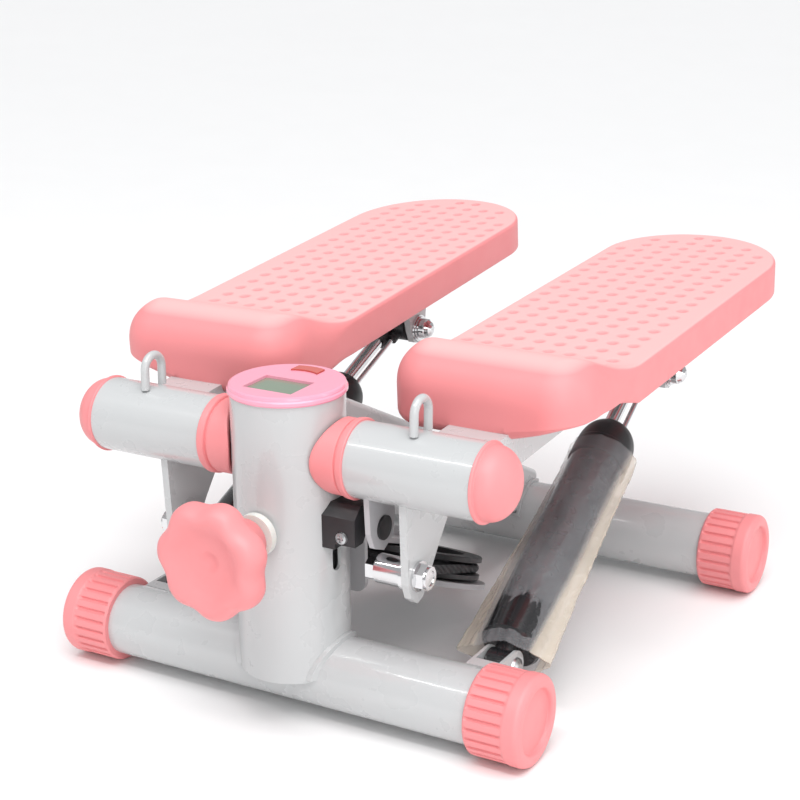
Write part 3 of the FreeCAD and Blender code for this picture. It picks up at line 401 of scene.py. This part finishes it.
def edge_distance(x, y):
    """How far a point of the footplate's plan lies inside its outline."""
    front = y - PEDAL_FRONT
    aside = PEDAL_HALF - abs(x)
    if front < PEDAL_CORNER and aside < PEDAL_CORNER:
        return PEDAL_CORNER - math.hypot(PEDAL_CORNER - front, PEDAL_CORNER - aside)
    knee = OUTER_KNEE if x > REAR_TIP_X else INNER_KNEE
    if y <= knee:
        return min(front, aside)
    wide = PEDAL_HALF - REAR_TIP_X if x > REAR_TIP_X else PEDAL_HALF + REAR_TIP_X
    deep = PEDAL_REAR - knee
    u = (x - REAR_TIP_X) / wide
    v = (y - knee) / deep
    e = max(1e-6, math.hypot(u, v))
    return (1 - e) / max(1e-6, math.hypot(u / wide, v / deep) / e)


# (y, height) down the back of the hump.
CREST = ((62.0, HUMP_TOP), (67.0, 41.5), (72.0, 40.0), (77.0, 38.0), (82.0, 35.8), (88.0, 33.0), (94.0, 30.4),
         (99.0, 28.6), (105.0, 27.0), (111.0, 26.0), (118.0, PEDAL_TOP))


def crest(y):
    """Height of the top before its edges are rounded: a level hump, a smooth fall, then the level tread."""
    if y <= CREST[0][0]:
        return HUMP_TOP
    for k in range(len(CREST) - 1):
        if y <= CREST[k + 1][0]:
            (y0, z0), (y1, z1) = CREST[k], CREST[k + 1]
            before = CREST[max(0, k - 1)][1]
            after = CREST[min(len(CREST) - 1, k + 2)][1]
            t = (y - y0) / (y1 - y0)
            m0 = 0.0 if k == 0 else (z1 - before) / 2
            m1 = (after - z0) / 2
            if k == len(CREST) - 2:
                m1 = 0.0
            return (z0 * (2 * t ** 3 - 3 * t ** 2 + 1) + m0 * (t ** 3 - 2 * t ** 2 + t)
                    + z1 * (3 * t ** 2 - 2 * t ** 3) + m1 * (t ** 3 - t ** 2))
    return PEDAL_TOP


CORNER_RISE = 10.6


def lower_edge(x, y):
    """Height of the skirt's lower edge: it climbs to the nose's outer corner, and to the skirt behind it."""
    plain = NOSE_LOW + (PEDAL_SKIRT - NOSE_LOW) * smoothstep(80.0, 106.0, y)
    corner = NOSE_LOW + CORNER_RISE * smoothstep(2.0, PEDAL_HALF, x) * (1 - smoothstep(84.0, 132.0, y))
    return max(plain, corner)


EDGE_POWER = 2.3


def quarter(distance, radius):
    """Rise of a rounded edge, 0 on the outline to 1 at radius inside it."""
    t = min(1.0, max(0.0, distance / radius))
    return max(0.0, 1 - (1 - t) ** EDGE_POWER) ** (1 / EDGE_POWER)


DIMPLE_FIRST = 114.2
DIMPLE_PITCH_X = 12.0
DIMPLE_PITCH_Y = 13.25
DIMPLE_ROWS = 18
DIMPLE_COLUMNS = (-4, 3)
DIMPLE_SHIFT = 2.4
DIMPLE_R = 3.7
DIMPLE_DEPTH = 1.25
DIMPLE_MARGIN = 8.0


def dimple_share(x, y):
    """1 in the middle of a grip dimple, 0 outside them all."""
    row = round((y - DIMPLE_FIRST) / DIMPLE_PITCH_Y)
    column = round((x - DIMPLE_SHIFT) / DIMPLE_PITCH_X)
    first, last = DIMPLE_COLUMNS
    if not -1 <= row <= DIMPLE_ROWS or not first <= column <= last:
        return 0.0
    if row == -1 and column < last:
        return 0.0
    cx = DIMPLE_SHIFT + column * DIMPLE_PITCH_X
    cy = DIMPLE_FIRST + row * DIMPLE_PITCH_Y
    if edge_distance(cx, cy) < DIMPLE_MARGIN:
        return 0.0
    reach = math.hypot((x - cx), (y - cy)) / DIMPLE_R
    return 1 - smoothstep(0.25, 1.0, reach)


NOSE_STEPS = (0.0, 0.06, 0.25, 0.6, 1.1, 1.8, 2.7, 3.8)
EDGE_STEPS = (0.0, 0.05, 0.2, 0.45, 0.8, 1.25, 1.8, 2.5)
ROW_STEP = 1.1
TIP_ROWS = 74
TIP_ANGLE = 87.0
TIP_WIDTH = 24.0
ACROSS = 96


def row_places():
    """Y of each row of the footplate's grid: close together at the nose and at the rear tip."""
    rows = [PEDAL_FRONT + d for d in NOSE_STEPS]
    while rows[-1] < OUTER_KNEE:
        rows.append(rows[-1] + ROW_STEP)
    deep = PEDAL_REAR - OUTER_KNEE
    span = math.asin((rows[-1] - OUTER_KNEE) / deep)
    for k in range(1, TIP_ROWS + 1):
        a = span + (math.radians(TIP_ANGLE) - span) * k / TIP_ROWS
        rows.append(OUTER_KNEE + deep * math.sin(a))
    return rows


def row_columns(y):
    """X of each column across the row at y."""
    low = -half_width(y, -1)
    high = half_width(y, 1)
    squeeze = min(1.0, (high - low) / TIP_WIDTH)
    left = [low + e * squeeze for e in EDGE_STEPS]
    right = [high - e * squeeze for e in EDGE_STEPS]
    middle = [left[-1] + (right[-1] - left[-1]) * k / ACROSS for k in range(1, ACROSS)]
    return left + middle + right[::-1]


# Radius of the rounded top edge round the nose, over the hump's back, and along the tread.
NOSE_EDGE = 22.0
HUMP_EDGE = 14.0
TREAD_EDGE = 2.6


def top_height(x, y, distance):
    """Height of the outside of the footplate over (x, y), distance inside its outline, dimples included."""
    behind = smoothstep(76.0, 116.0, y)
    radius = NOSE_EDGE + (HUMP_EDGE - NOSE_EDGE) * smoothstep(56.0, 76.0, y)
    radius += (TREAD_EDGE - radius) * behind
    drop = NOSE_EDGE + (TREAD_EDGE - NOSE_EDGE) * behind
    return crest(y) - drop * (1 - quarter(distance, radius)) - DIMPLE_DEPTH * dimple_share(x, y)


# The skirt's lower edge is rounded to RIM_BEND, and by NOSE_BEND more round the nose, over NOSE_BLEND.
RIM_BEND = 0.9
NOSE_BEND = 5.4
NOSE_BLEND = (70.0, 112.0)
SKIRT_SHARES = (0.25, 0.5, 0.72)
SKIRT_LIFT = 1.2
BEND_ANGLES = (8, 24, 42, 60, 76, 90)
# (distance in from the bend, height over the lower edge) up the inside of the skirt.
WALL_STEPS = ((0.8, 0.0), (1.6, 0.0), (2.2, 0.3), (2.4, 0.9))
WALL = WALL_STEPS[-1][0]
CEILING_DROP = 1.6
CEILING_END = 4.0


def rim_bend(y):
    return RIM_BEND + NOSE_BEND * (1 - smoothstep(*NOSE_BLEND, y))


def add_loop(verts, points):
    """Appends points to verts and returns their indices."""
    start = len(verts)
    verts.extend(Vector(point) for point in points)
    return list(range(start, len(verts)))


def top_grid(verts, shares):
    """Appends the outside of the top, row by row, and returns the rows' indices."""
    rows = row_places()
    grid = []
    for y in rows:
        columns = row_columns(y)
        ends = (0, len(columns) - 1)
        points = []
        for k, x in enumerate(columns):
            on_rim = k in ends or y in (rows[0], rows[-1])
            points.append((x, y, top_height(x, y, 0.0 if on_rim else edge_distance(x, y))))
            shares.append(dimple_share(x, y))
        grid.append(add_loop(verts, points))
    return grid


def skirt_loops(verts, rim):
    """Appends the loops from the rim down the skirt, round its lower edge and up to the plain ceiling."""
    tops = [verts[index] for index in rim]
    sides = list(zip(tops, rim_normals(verts, rim)))
    loops = [rim]
    for share in SKIRT_SHARES:
        loops.append(add_loop(verts, [
            (p.x, p.y, p.z + (lower_edge(p.x, p.y) + SKIRT_LIFT - p.z) * share) for p in tops]))
    for angle in BEND_ANGLES:
        reach = math.sin(math.radians(angle))
        rise = math.cos(math.radians(angle))
        points = []
        for p, out in sides:
            bend = rim_bend(p.y)
            inset = bend * (1 - rise) if angle < 90 else bend
            points.append((p.x - out.x * inset, p.y - out.y * inset, lower_edge(p.x, p.y) + bend * (1 - reach)))
        loops.append(add_loop(verts, points))
    for wall, lift in WALL_STEPS:
        points = []
        for p, out in sides:
            inset = rim_bend(p.y) + wall
            points.append((p.x - out.x * inset, p.y - out.y * inset, lower_edge(p.x, p.y) + lift))
        loops.append(add_loop(verts, points))
    points = []
    for p, out in sides:
        inset = rim_bend(p.y) + WALL
        y = min(max(p.y - out.y * inset, PEDAL_FRONT + CEILING_END), PEDAL_REAR - CEILING_END)
        points.append((p.x - out.x * inset, y, PEDAL_TOP - PEDAL_SKIN - CEILING_DROP))
    loops.append(add_loop(verts, points))
    return loops


def ceiling_faces(ceiling, across, depth):
    """Strips that close the ceiling's loop, whose ends have across points and whose sides have depth."""
    front = ceiling[:across]
    right = ceiling[across:across + depth - 2]
    rear = ceiling[across + depth - 2:2 * across + depth - 2]
    left = ceiling[2 * across + depth - 2:][::-1]
    faces = [tuple([left[0], right[0]] + front[::-1])]
    for k in range(len(right) - 1):
        faces.append((left[k], left[k + 1], right[k + 1], right[k]))
    faces.append(tuple([right[-1], left[-1]] + rear[::-1]))
    return faces


def cover_mesh():
    """The footplate in its own frame, millimetres: outside, skirt and plain inside, with the dimple shares."""
    verts = []
    shares = []
    grid = top_grid(verts, shares)
    faces = []
    for a, b in zip(grid, grid[1:]):
        for i in range(len(a) - 1):
            faces.append((a[i], a[i + 1], b[i + 1], b[i]))
    rim = list(grid[0]) + [line[-1] for line in grid[1:-1]] + list(grid[-1])[::-1]
    rim += [line[0] for line in grid[1:-1]][::-1]
    loops = skirt_loops(verts, rim)
    count = len(rim)
    for near, far in zip(loops, loops[1:]):
        for k in range(count):
            n = (k + 1) % count
            faces.append((near[n], near[k], far[k], far[n]))
    faces += ceiling_faces(loops[-1], len(grid[0]), len(grid))
    shares += [0.0] * (len(verts) - len(shares))
    return verts, faces, shares


def rim_normals(verts, rim):
    """Outward direction in plan at each point of the rim."""
    count = len(rim)
    out = []
    for k in range(count):
        before = verts[rim[k - 2]]
        after = verts[rim[(k + 2) % count]]
        along = Vector((after.x - before.x, after.y - before.y))
        along.normalize()
        out.append(Vector((along.y, -along.x)))
    return out


def pedal_place(name, side):
    """Matrix from the pedal's own frame, millimetres, to the row frame in metres."""
    pivot = Vector(JOINTS["pedal_" + name + "_hinge"]["pos_m"])
    toe = math.radians(PEDAL_TOE)
    shift = PEDAL_MID_X + TOE_CENTRE * (math.tan(toe) - math.sin(toe))
    place = Matrix.Translation((shift, 0, 0)) @ Matrix.Rotation(-toe, 4, "Z")
    mirror = Matrix.Scale(side, 4, Vector((1, 0, 0)))
    tilt = Matrix.Rotation(math.radians(PEDAL_TILT[name]), 4, "X")
    return Matrix.Translation(pivot) @ tilt @ mirror @ Matrix.Scale(MM, 4) @ place


def add_shape(target, shape, matrix):
    """Appends a (verts, faces) shape, moved by matrix, to another."""
    start = len(target[0])
    target[0].extend(matrix @ v for v in shape[0])
    target[1].extend(tuple(start + i for i in face) for face in shape[1])


BOSS_R = 5.6
BOSS_FOOT_R = 4.9
BOSS_GAP = 1.5
BOSS_SHIFT = 6.0


def make_pedal_covers():
    verts, faces, shares = cover_mesh()
    for name, side in SIDES:
        place = pedal_place(name, side)
        body = ([place @ v for v in verts], list(faces))
        if side < 0:
            body = (body[0], [face[::-1] for face in body[1]])
        for y in SCREW_Y:
            top = crest(y + BOSS_SHIFT) - BOSS_GAP
            profile = [(ARM_WEB, 0.0), (ARM_WEB, BOSS_FOOT_R), (ARM_WEB + 0.1, 5.0), (top, BOSS_R), (top, 0.0)]
            boss = lathe(profile, (ARM_MID_X - PEDAL_MID_X, y, 0), (0, 0, 1), 32)
            add_shape(body, boss, place)
        piece = make_piece("footplate_" + name, body[0], body[1], "pink_tread", "pedal_" + name,
                           ["pedal_cover_" + name])
        # The dimple shares drive the painted shade in the dimples.
        dimple = piece.data.attributes.new("dimple", "FLOAT", "POINT")
        values = shares + [0.0] * (len(piece.data.vertices) - len(shares))
        dimple.data.foreach_set("value", values)


# ---- turned plastic pieces ----------------------------------------------------------------------------------

def make_domes_and_bushes():
    """The dome over each end of the axle, and the bush between column and sleeve."""
    for name, side in SIDES:
        pivot = Vector(JOINTS["pedal_" + name + "_hinge"]["pos_m"])
        low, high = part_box("sleeve_" + name)
        outer = high.x if side > 0 else -low.x
        dome_low, dome_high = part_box("dome_cap_" + name)
        tip = (dome_high.x if side > 0 else -dome_low.x) - outer
        axis = (side, 0, 0)
        origin = Vector((side * outer, pivot.y, pivot.z))
        r = TUBE_R * MM
        lip = soften([(-0.002, 0.0), (-0.002, r - 0.0021), (0.0, r - 0.0021), (0.0, r + 0.0003),
                      (0.0006, r + 0.0010), (0.0017, r + 0.0008), (0.0022, r - 0.0004), (0.0026, r - 0.0006)],
                     0.0003)
        shape = lathe(lip + oval((0.0026, r - 0.0007), tip, 26, 2.15), origin, axis, 96)
        make_piece("dome_" + name, *shape, "pink_plastic", "pedal_" + name, ["dome_cap_" + name])
        make_bush(name, side, pivot)


BUSH_BORE = 8.06
COLUMN_GAP = 1.15
BUSH_SEGMENTS = 128
BUSH_STEPS = 10
# (radius less the bush's own or None for the bore, distance back from the scooped end) round the inner rim.
SCOOP_RIM = ((None, 0.0), (-3.0, 0.0), (-1.2, 0.25), (-0.35, 0.9), (0.0, 1.9))


def make_bush(name, side, pivot):
    """The bush between column and sleeve: scooped to follow the column, with a groove near the sleeve."""
    low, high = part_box("sleeve_" + name)
    sleeve = (low.x if side > 0 else -high.x) / MM
    r = TUBE_R + 0.2
    outer = [(sleeve - 5.6, r), (sleeve - 5.2, r - 0.1), (sleeve - 4.9, r - 0.9), (sleeve - 4.2, r - 0.9),
             (sleeve - 3.9, r + 0.2), (sleeve - 3.4, r + 0.8), (sleeve - 0.6, r + 1.1), (sleeve, r + 0.8),
             (sleeve + 0.1, TUBE_R - 2.1), (sleeve + 16.0, TUBE_R - 2.1), (sleeve + 16.0, BUSH_BORE)]
    verts = []
    rings = []

    def saddle(radius, a):
        return math.sqrt(COLUMN_R ** 2 - (radius * math.cos(a)) ** 2) + COLUMN_GAP

    def add_ring(points):
        ring = []
        for x, y, z in points:
            ring.append(len(verts))
            verts.append(Vector((side * x * MM, pivot.y - y * MM, pivot.z + z * MM)))
        rings.append(ring)

    angles = [2 * math.pi * k / BUSH_SEGMENTS for k in range(BUSH_SEGMENTS)]
    for less, lift in SCOOP_RIM:
        radius = BUSH_BORE if less is None else r + less
        add_ring([(saddle(radius, a) + lift, radius * math.cos(a), radius * math.sin(a)) for a in angles])
    for k in range(1, BUSH_STEPS):
        ring = []
        for a in angles:
            start = saddle(r, a) + SCOOP_RIM[-1][1]
            ring.append((start + (outer[0][0] - start) * k / BUSH_STEPS, r * math.cos(a), r * math.sin(a)))
        add_ring(ring)
    for x, radius in soften(outer, 0.25, 3):
        add_ring([(x, radius * math.cos(a), radius * math.sin(a)) for a in angles])
    faces = []
    for near, far in zip(rings, rings[1:] + rings[:1]):
        for k in range(BUSH_SEGMENTS):
            n = (k + 1) % BUSH_SEGMENTS
            quad = (near[k], near[n], far[n], far[k])
            faces.append(quad if side > 0 else quad[::-1])
    make_piece("bush_" + name, verts, faces, "pink_plastic", "pedal_" + name, ["inner_bush_" + name])


# The foot caps' ribbed band, metres along from the open end.
RIBS_START = 0.0008
RIBS_END = 0.0209
RIBS_INNER = 0.0205
FLUTE_DEPTH = 0.0013
RIB_ROWS = 22


def rib_ripple(along, radius, angle):
    """Takes the flutes between the grip ribs out of a foot cap's radius."""
    if radius < RIBS_INNER or not RIBS_START < along < RIBS_END:
        return radius
    share = (angle * CAP_RIBS / (2 * math.pi)) % 1.0
    flute = smoothstep(0.0, 0.16, 0.5 - abs(share - 0.5) - 0.06)
    ends = smoothstep(RIBS_START, 0.0022, along) * (1 - smoothstep(0.0192, 0.0206, along))
    return radius - FLUTE_DEPTH * (1 - flute) * ends


def make_foot_caps():
    """The four ribbed caps on the crossbars' ends, each with a dished end face."""
    for place in ("front", "rear"):
        for name, side in SIDES:
            node = "foot_cap_" + place + "_" + name
            low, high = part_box(node)
            centre = (low + high) / 2
            length = high.x - low.x
            r = (high.z - low.z) / 2
            start = low.x if side > 0 else high.x
            inner = TUBE_R * MM
            head = [(length - 0.0040, 0.0), (length - 0.0040, inner), (0.0, inner), (0.0, r - 0.0014),
                    (0.0010, r - 0.0005)]
            ribs = [(0.0010 + 0.0198 * k / RIB_ROWS, r - 0.0004) for k in range(1, RIB_ROWS)]
            tail = soften([(0.0208, r - 0.0003), (0.0214, r), (length - 0.0026, r),
                           (length - 0.0011, r - 0.0007), (length, r - 0.0026), (length, r - 0.0058),
                           (length - 0.0006, r - 0.0066),
                           (length - 0.0022, r - 0.0072), (length - 0.0024, r - 0.0078),
                           (length - 0.0021, r * 0.3), (length - 0.0020, 0.0)], 0.0007)
            origin = (start, centre.y, centre.z)
            shape = lathe(head + ribs + tail, origin, (side, 0, 0), CAP_RIBS * 10, rib_ripple)
            make_piece("grip_" + node, *shape, "pink_plastic", "frame", [node])


# ---- knob ---------------------------------------------------------------------------------------------------

# Metres: the knob's radius, the depth of its lobed rim, and how deep the hollows between lobes are.
KNOB_REACH = 0.0298
KNOB_RIM = 0.0176
LOBE_DEPTH = 0.0027
LOBE_TURN = 0.35
LOBE_POWER = 1.3


def make_knob():
    """The lobed knob: a dished face round the stud's end, a lobed rim, and a hub to the collar."""
    low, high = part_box("adjuster_knob")
    centre = Vector(((low.x + high.x) / 2, low.y, JOINTS["adjuster_turn"]["pos_m"][2]))
    reach = KNOB_REACH
    back = high.y - low.y

    def lobes(along, radius, angle):
        share = smoothstep(0.45, 0.95, radius / reach)
        wave = (1 - math.cos(KNOB_LOBES * (angle + LOBE_TURN))) / 2
        return radius - LOBE_DEPTH * wave ** LOBE_POWER * share if along < KNOB_RIM else radius

    face = [(0.0076, 0.0), (0.0075, 0.0016), (0.0068, 0.0036), (0.0060, 0.0052), (0.0056, 0.0074),
            (0.0049, 0.0106), (0.0032, 0.0148), (0.0013, 0.0188), (0.0003, 0.0218), (0.0001, 0.0238),
            (0.0008, 0.0258), (0.0024, 0.0278), (0.0048, 0.0292), (0.0082, reach), (0.0116, reach - 0.0001),
            (0.0142, reach - 0.0012), (0.0160, reach - 0.0038), (0.0171, reach - 0.0080),
            (KNOB_RIM, reach - 0.0126)]
    hub = [(0.0180, 0.0146), (0.0190, 0.0134), (0.0230, 0.0120), (back - 0.0006, 0.0110), (back, 0.0104),
           (back, 0.0)]
    shape = lathe(soften(face, 0.0012, 3) + hub, centre, (0, 1, 0), KNOB_LOBES * 24, lobes)
    make_piece("tension_knob", *shape, "pink_plastic", "adjuster", ["adjuster_knob"], 50.0)


# ---- cylinder caps and the film bag -------------------------------------------------------------------------

def cylinder_axis(name):
    """A cylinder's lower pin and the direction up its rod."""
    foot = Vector(JOINTS["cylinder_" + name + "_swing"]["pos_m"])
    ahead = Vector(JOINTS["rod_" + name + "_slide"]["axis"]).normalized()
    return foot, ahead


# Metres up from the lower pin, and radii.
GLAND_START = 0.1480
GLAND_TIP = 0.1818
GLAND_DOME_R = 0.0164
GLAND_LIP_R = 0.0167
CYLINDER_R = 0.0144
GLAND_POWER = 2.3


def make_cylinder_caps():
    """The plastic cap round the top of each cylinder, domed where the rod comes out."""
    for name, _ in SIDES:
        foot, ahead = cylinder_axis(name)
        lip = soften([(0.1640, 0.0), (0.1640, CYLINDER_R), (GLAND_START, CYLINDER_R), (GLAND_START, 0.0160),
                      (0.1488, GLAND_LIP_R), (0.1600, GLAND_LIP_R), (0.1606, GLAND_DOME_R),
                      (0.1614, GLAND_DOME_R)], 0.0004)
        dome = oval((0.1616, GLAND_DOME_R), GLAND_TIP, 22, GLAND_POWER)
        shape = lathe(lip + dome, foot, ahead, 72)
        make_piece("gland_cap_" + name, *shape, "black_plastic", "cylinder_" + name, ["cylinder_cap_" + name])


# Distance up the cylinder, reach of the bag's outer and inner side edges, and radius of its round middle.
FILM_STATIONS = ((5.0, 25.6, 27.6, 14.0), (30.0, 24.4, 25.6, 15.4), (55.0, 23.6, 23.8, 16.6),
                 (75.0, 23.2, 22.8, 17.0), (105.0, 22.8, 20.9, 17.1), (138.0, 22.4, 18.9, 17.3),
                 (150.0, 22.2, 18.6, 17.9), (157.0, 21.6, 18.4, 18.0))
# Metres across and along the opened-out bag.
FILM_SKIN = 0.12
FILM_ROWS = 160
FILM_AROUND = 168
# Height and reach of the soft roll at the bag's folded edges.
FOLD_ROLL = 1.3
FOLD_REACH = 1.6


def film_size(along):
    """The bag's two edge reaches and middle radius at a distance up the cylinder."""
    for low, high in zip(FILM_STATIONS, FILM_STATIONS[1:]):
        if along <= high[0]:
            t = (along - low[0]) / (high[0] - low[0])
            return [a + (b - a) * t for a, b in zip(low[1:], high[1:])]
    return FILM_STATIONS[-1][1:]


def bag_section(edges, radius, share):
    """A point of the bag's section at a share of its way round: a round middle drawn out to two thin edges."""
    a = 2 * math.pi * share
    reach = edges[0] if math.cos(a) > 0 else edges[1]
    lean = math.acos(min(0.999, radius / reach))
    turn = abs(math.atan2(math.sin(a), abs(math.cos(a))))
    straight = math.sqrt(reach ** 2 - radius ** 2)
    arc = radius * (math.pi / 2 - lean)
    run = (straight + arc) * turn / (math.pi / 2)
    if run < straight:
        t = run / straight
        x = reach + (radius * math.cos(lean) - reach) * t
        z = radius * math.sin(lean) * t
        soft = FOLD_ROLL * math.exp(-run / FOLD_REACH)
        x -= soft * 0.5
        z += soft
    else:
        angle = lean + (run - straight) / radius
        x = radius * math.cos(angle)
        z = radius * math.sin(angle)
    return math.copysign(x, math.cos(a)), math.copysign(z, math.sin(a))


def film_crinkle(along, angle):
    """Relief of the film in millimetres: long soft folds, short sharp creases, and ruffled open ends."""
    p = Vector((math.cos(angle) * 2.2, math.sin(angle) * 2.2, along / 26.0))
    folds = noise.noise(p + Vector((3.1, 0.7, 1.9)))
    q = Vector((p.x * 2.1, p.y * 2.1, along / 9.0)) + Vector((9.0, 2.0, 5.0))
    creases = max(0.0, 1 - abs(noise.noise(q)) * 2.4) ** 3
    ends = smoothstep(140.0, 157.0, along) * 0.6 + 1 - smoothstep(5.0, 26.0, along)
    ruffle = noise.noise(Vector((math.cos(angle) * 4.5, math.sin(angle) * 4.5, along / 30.0)))
    return max(-0.3, 0.6 * folds + 0.45 * creases + 1.0 * ends * ruffle)


def make_film():
    """The open-ended bag round the right cylinder: two skins joined at both ends."""
    foot, ahead = cylinder_axis("right")
    across = (Vector((1, 0, 0)) - ahead * ahead.x).normalized()
    up = across.cross(ahead)
    start = FILM_STATIONS[0][0]
    end = FILM_STATIONS[-1][0]
    skins = []
    verts = []
    haze = []
    for thick in (0.0, -FILM_SKIN):
        rings = []
        for j in range(FILM_ROWS + 1):
            along = start + (end - start) * j / FILM_ROWS
            outer, inner, radius = film_size(along)
            ring = []
            for k in range(FILM_AROUND):
                share = (k + 0.5) / FILM_AROUND
                a = 2 * math.pi * share
                x, z = bag_section((outer, inner), radius, share)
                grow = film_crinkle(along, a) + thick
                away = Vector((x * 0.4, z)).normalized()
                lip = 1.5 * math.sin(2 * a + 0.6) + 0.5 * math.sin(5 * a) if j in (0, FILM_ROWS) else 0.0
                ring.append(len(verts))
                point = ahead * (along + lip) + across * (x + away.x * grow) + up * (z + away.y * grow)
                verts.append(foot + point * MM)
                haze.append(smoothstep(radius * 0.92, radius * 1.12, abs(x)))
            rings.append(ring)
        skins.append(rings)
    faces = []
    for s, rings in enumerate(skins):
        for near, far in zip(rings, rings[1:]):
            for k in range(FILM_AROUND):
                n = (k + 1) % FILM_AROUND
                quad = (near[k], near[n], far[n], far[k])
                faces.append(quad if s == 0 else quad[::-1])
    for j in (0, -1):
        outer, inner = skins[0][j], skins[1][j]
        for k in range(FILM_AROUND):
            n = (k + 1) % FILM_AROUND
            quad = (outer[k], inner[k], inner[n], outer[n])
            faces.append(quad if j == 0 else quad[::-1])
    bag = make_piece("packing_film", verts, faces, "clear_film", "cylinder_right", ["cylinder_film"], 180.0)
    fold = bag.data.attributes.new("fold", "FLOAT", "POINT")
    fold.data.foreach_set("value", haze)


# ---- studio -------------------------------------------------------------------------------------------------

CAMERA_PLACE = (0.454612, -0.818741, 0.426019)
CAMERA_AZIMUTH = 30.09
CAMERA_ELEVATION = 17.93
CAMERA_ROLL = -0.74
CAMERA_LENS = 78.51
CAMERA_SENSOR = 36.0
SKY_COLOR = (0.97, 0.98, 1.0)
SKY_STRENGTH = 0.50
SUN_STRENGTH = 1.95
SUN_SPREAD = 50
SUN_AIM = (-0.25, 0.20, -1.0)
LIGHTS_AIM = (0, 0, 0.08)
# Name, place, size, power and colour.
AREA_LIGHTS = (
    ("front_right", (1.15, -1.35, 0.75), (0.7, 1.1), 7.5, (1.0, 0.985, 0.97)),
    ("top_strip", (0.0, -0.75, 1.15), (1.6, 0.07), 5.0, (1.0, 1.0, 1.0)),
    ("right_strip", (1.5, 0.35, 0.5), (0.3, 1.0), 3.0, (1.0, 0.98, 0.97)),
)
FLOOR_HALF = 9.0


def add_area(name, place, size, power, color):
    light = bpy.data.lights.new(name, "AREA")
    light.shape = "RECTANGLE"
    light.size, light.size_y = size
    light.energy = power
    light.color = color
    lamp = bpy.data.objects.new(name, light)
    bpy.context.scene.collection.objects.link(lamp)
    lamp.location = place
    lamp.rotation_euler = (Vector(LIGHTS_AIM) - Vector(place)).to_track_quat("-Z", "Y").to_euler()


def make_studio():
    scene = bpy.context.scene
    az, el, roll = (math.radians(a) for a in (CAMERA_AZIMUTH, CAMERA_ELEVATION, CAMERA_ROLL))
    ahead = Vector((-math.sin(az) * math.cos(el), math.cos(az) * math.cos(el), -math.sin(el)))
    right = Vector((math.cos(az), math.sin(az), 0))
    up = right.cross(ahead)
    turned = right * math.cos(roll) + up * math.sin(roll)
    above = up * math.cos(roll) - right * math.sin(roll)
    camera = bpy.data.objects.new("camera", bpy.data.cameras.new("camera"))
    camera.data.lens = CAMERA_LENS
    camera.data.sensor_width = CAMERA_SENSOR
    facing = Matrix((turned, above, -ahead)).transposed().to_4x4()
    camera.matrix_world = Matrix.Translation(CAMERA_PLACE) @ facing
    scene.collection.objects.link(camera)
    scene.camera = camera

    world = bpy.data.worlds.new("studio")
    world.use_nodes = True
    sky = world.node_tree.nodes["Background"]
    sky.inputs["Color"].default_value = (*SKY_COLOR, 1)
    sky.inputs["Strength"].default_value = SKY_STRENGTH
    scene.world = world
    scene.view_settings.view_transform = "Standard"

    sun = bpy.data.lights.new("soft_sky", "SUN")
    sun.energy = SUN_STRENGTH
    sun.angle = math.radians(SUN_SPREAD)
    key = bpy.data.objects.new("soft_sky", sun)
    key.rotation_euler = Vector(SUN_AIM).to_track_quat("-Z", "Y").to_euler()
    scene.collection.objects.link(key)
    for light in AREA_LIGHTS:
        add_area(*light)

    floor = bpy.data.meshes.new("floor")
    corners = [(x * FLOOR_HALF, y * FLOOR_HALF, 0) for x, y in ((-1, -1), (1, -1), (1, 1), (-1, 1))]
    floor.from_pydata(corners, [], [(0, 1, 2, 3)])
    ground = bpy.data.objects.new("floor", floor)
    scene.collection.objects.link(ground)
    floor.materials.append(finish_of("floor", (0.90, 0.90, 0.90), 0.004, (0.6, 0.7), 3, 300, 0.02, 0.0001))


dress_cad_nodes()
make_pedal_covers()
make_domes_and_bushes()
make_foot_caps()
make_knob()
make_cylinder_caps()
make_film()
make_studio()
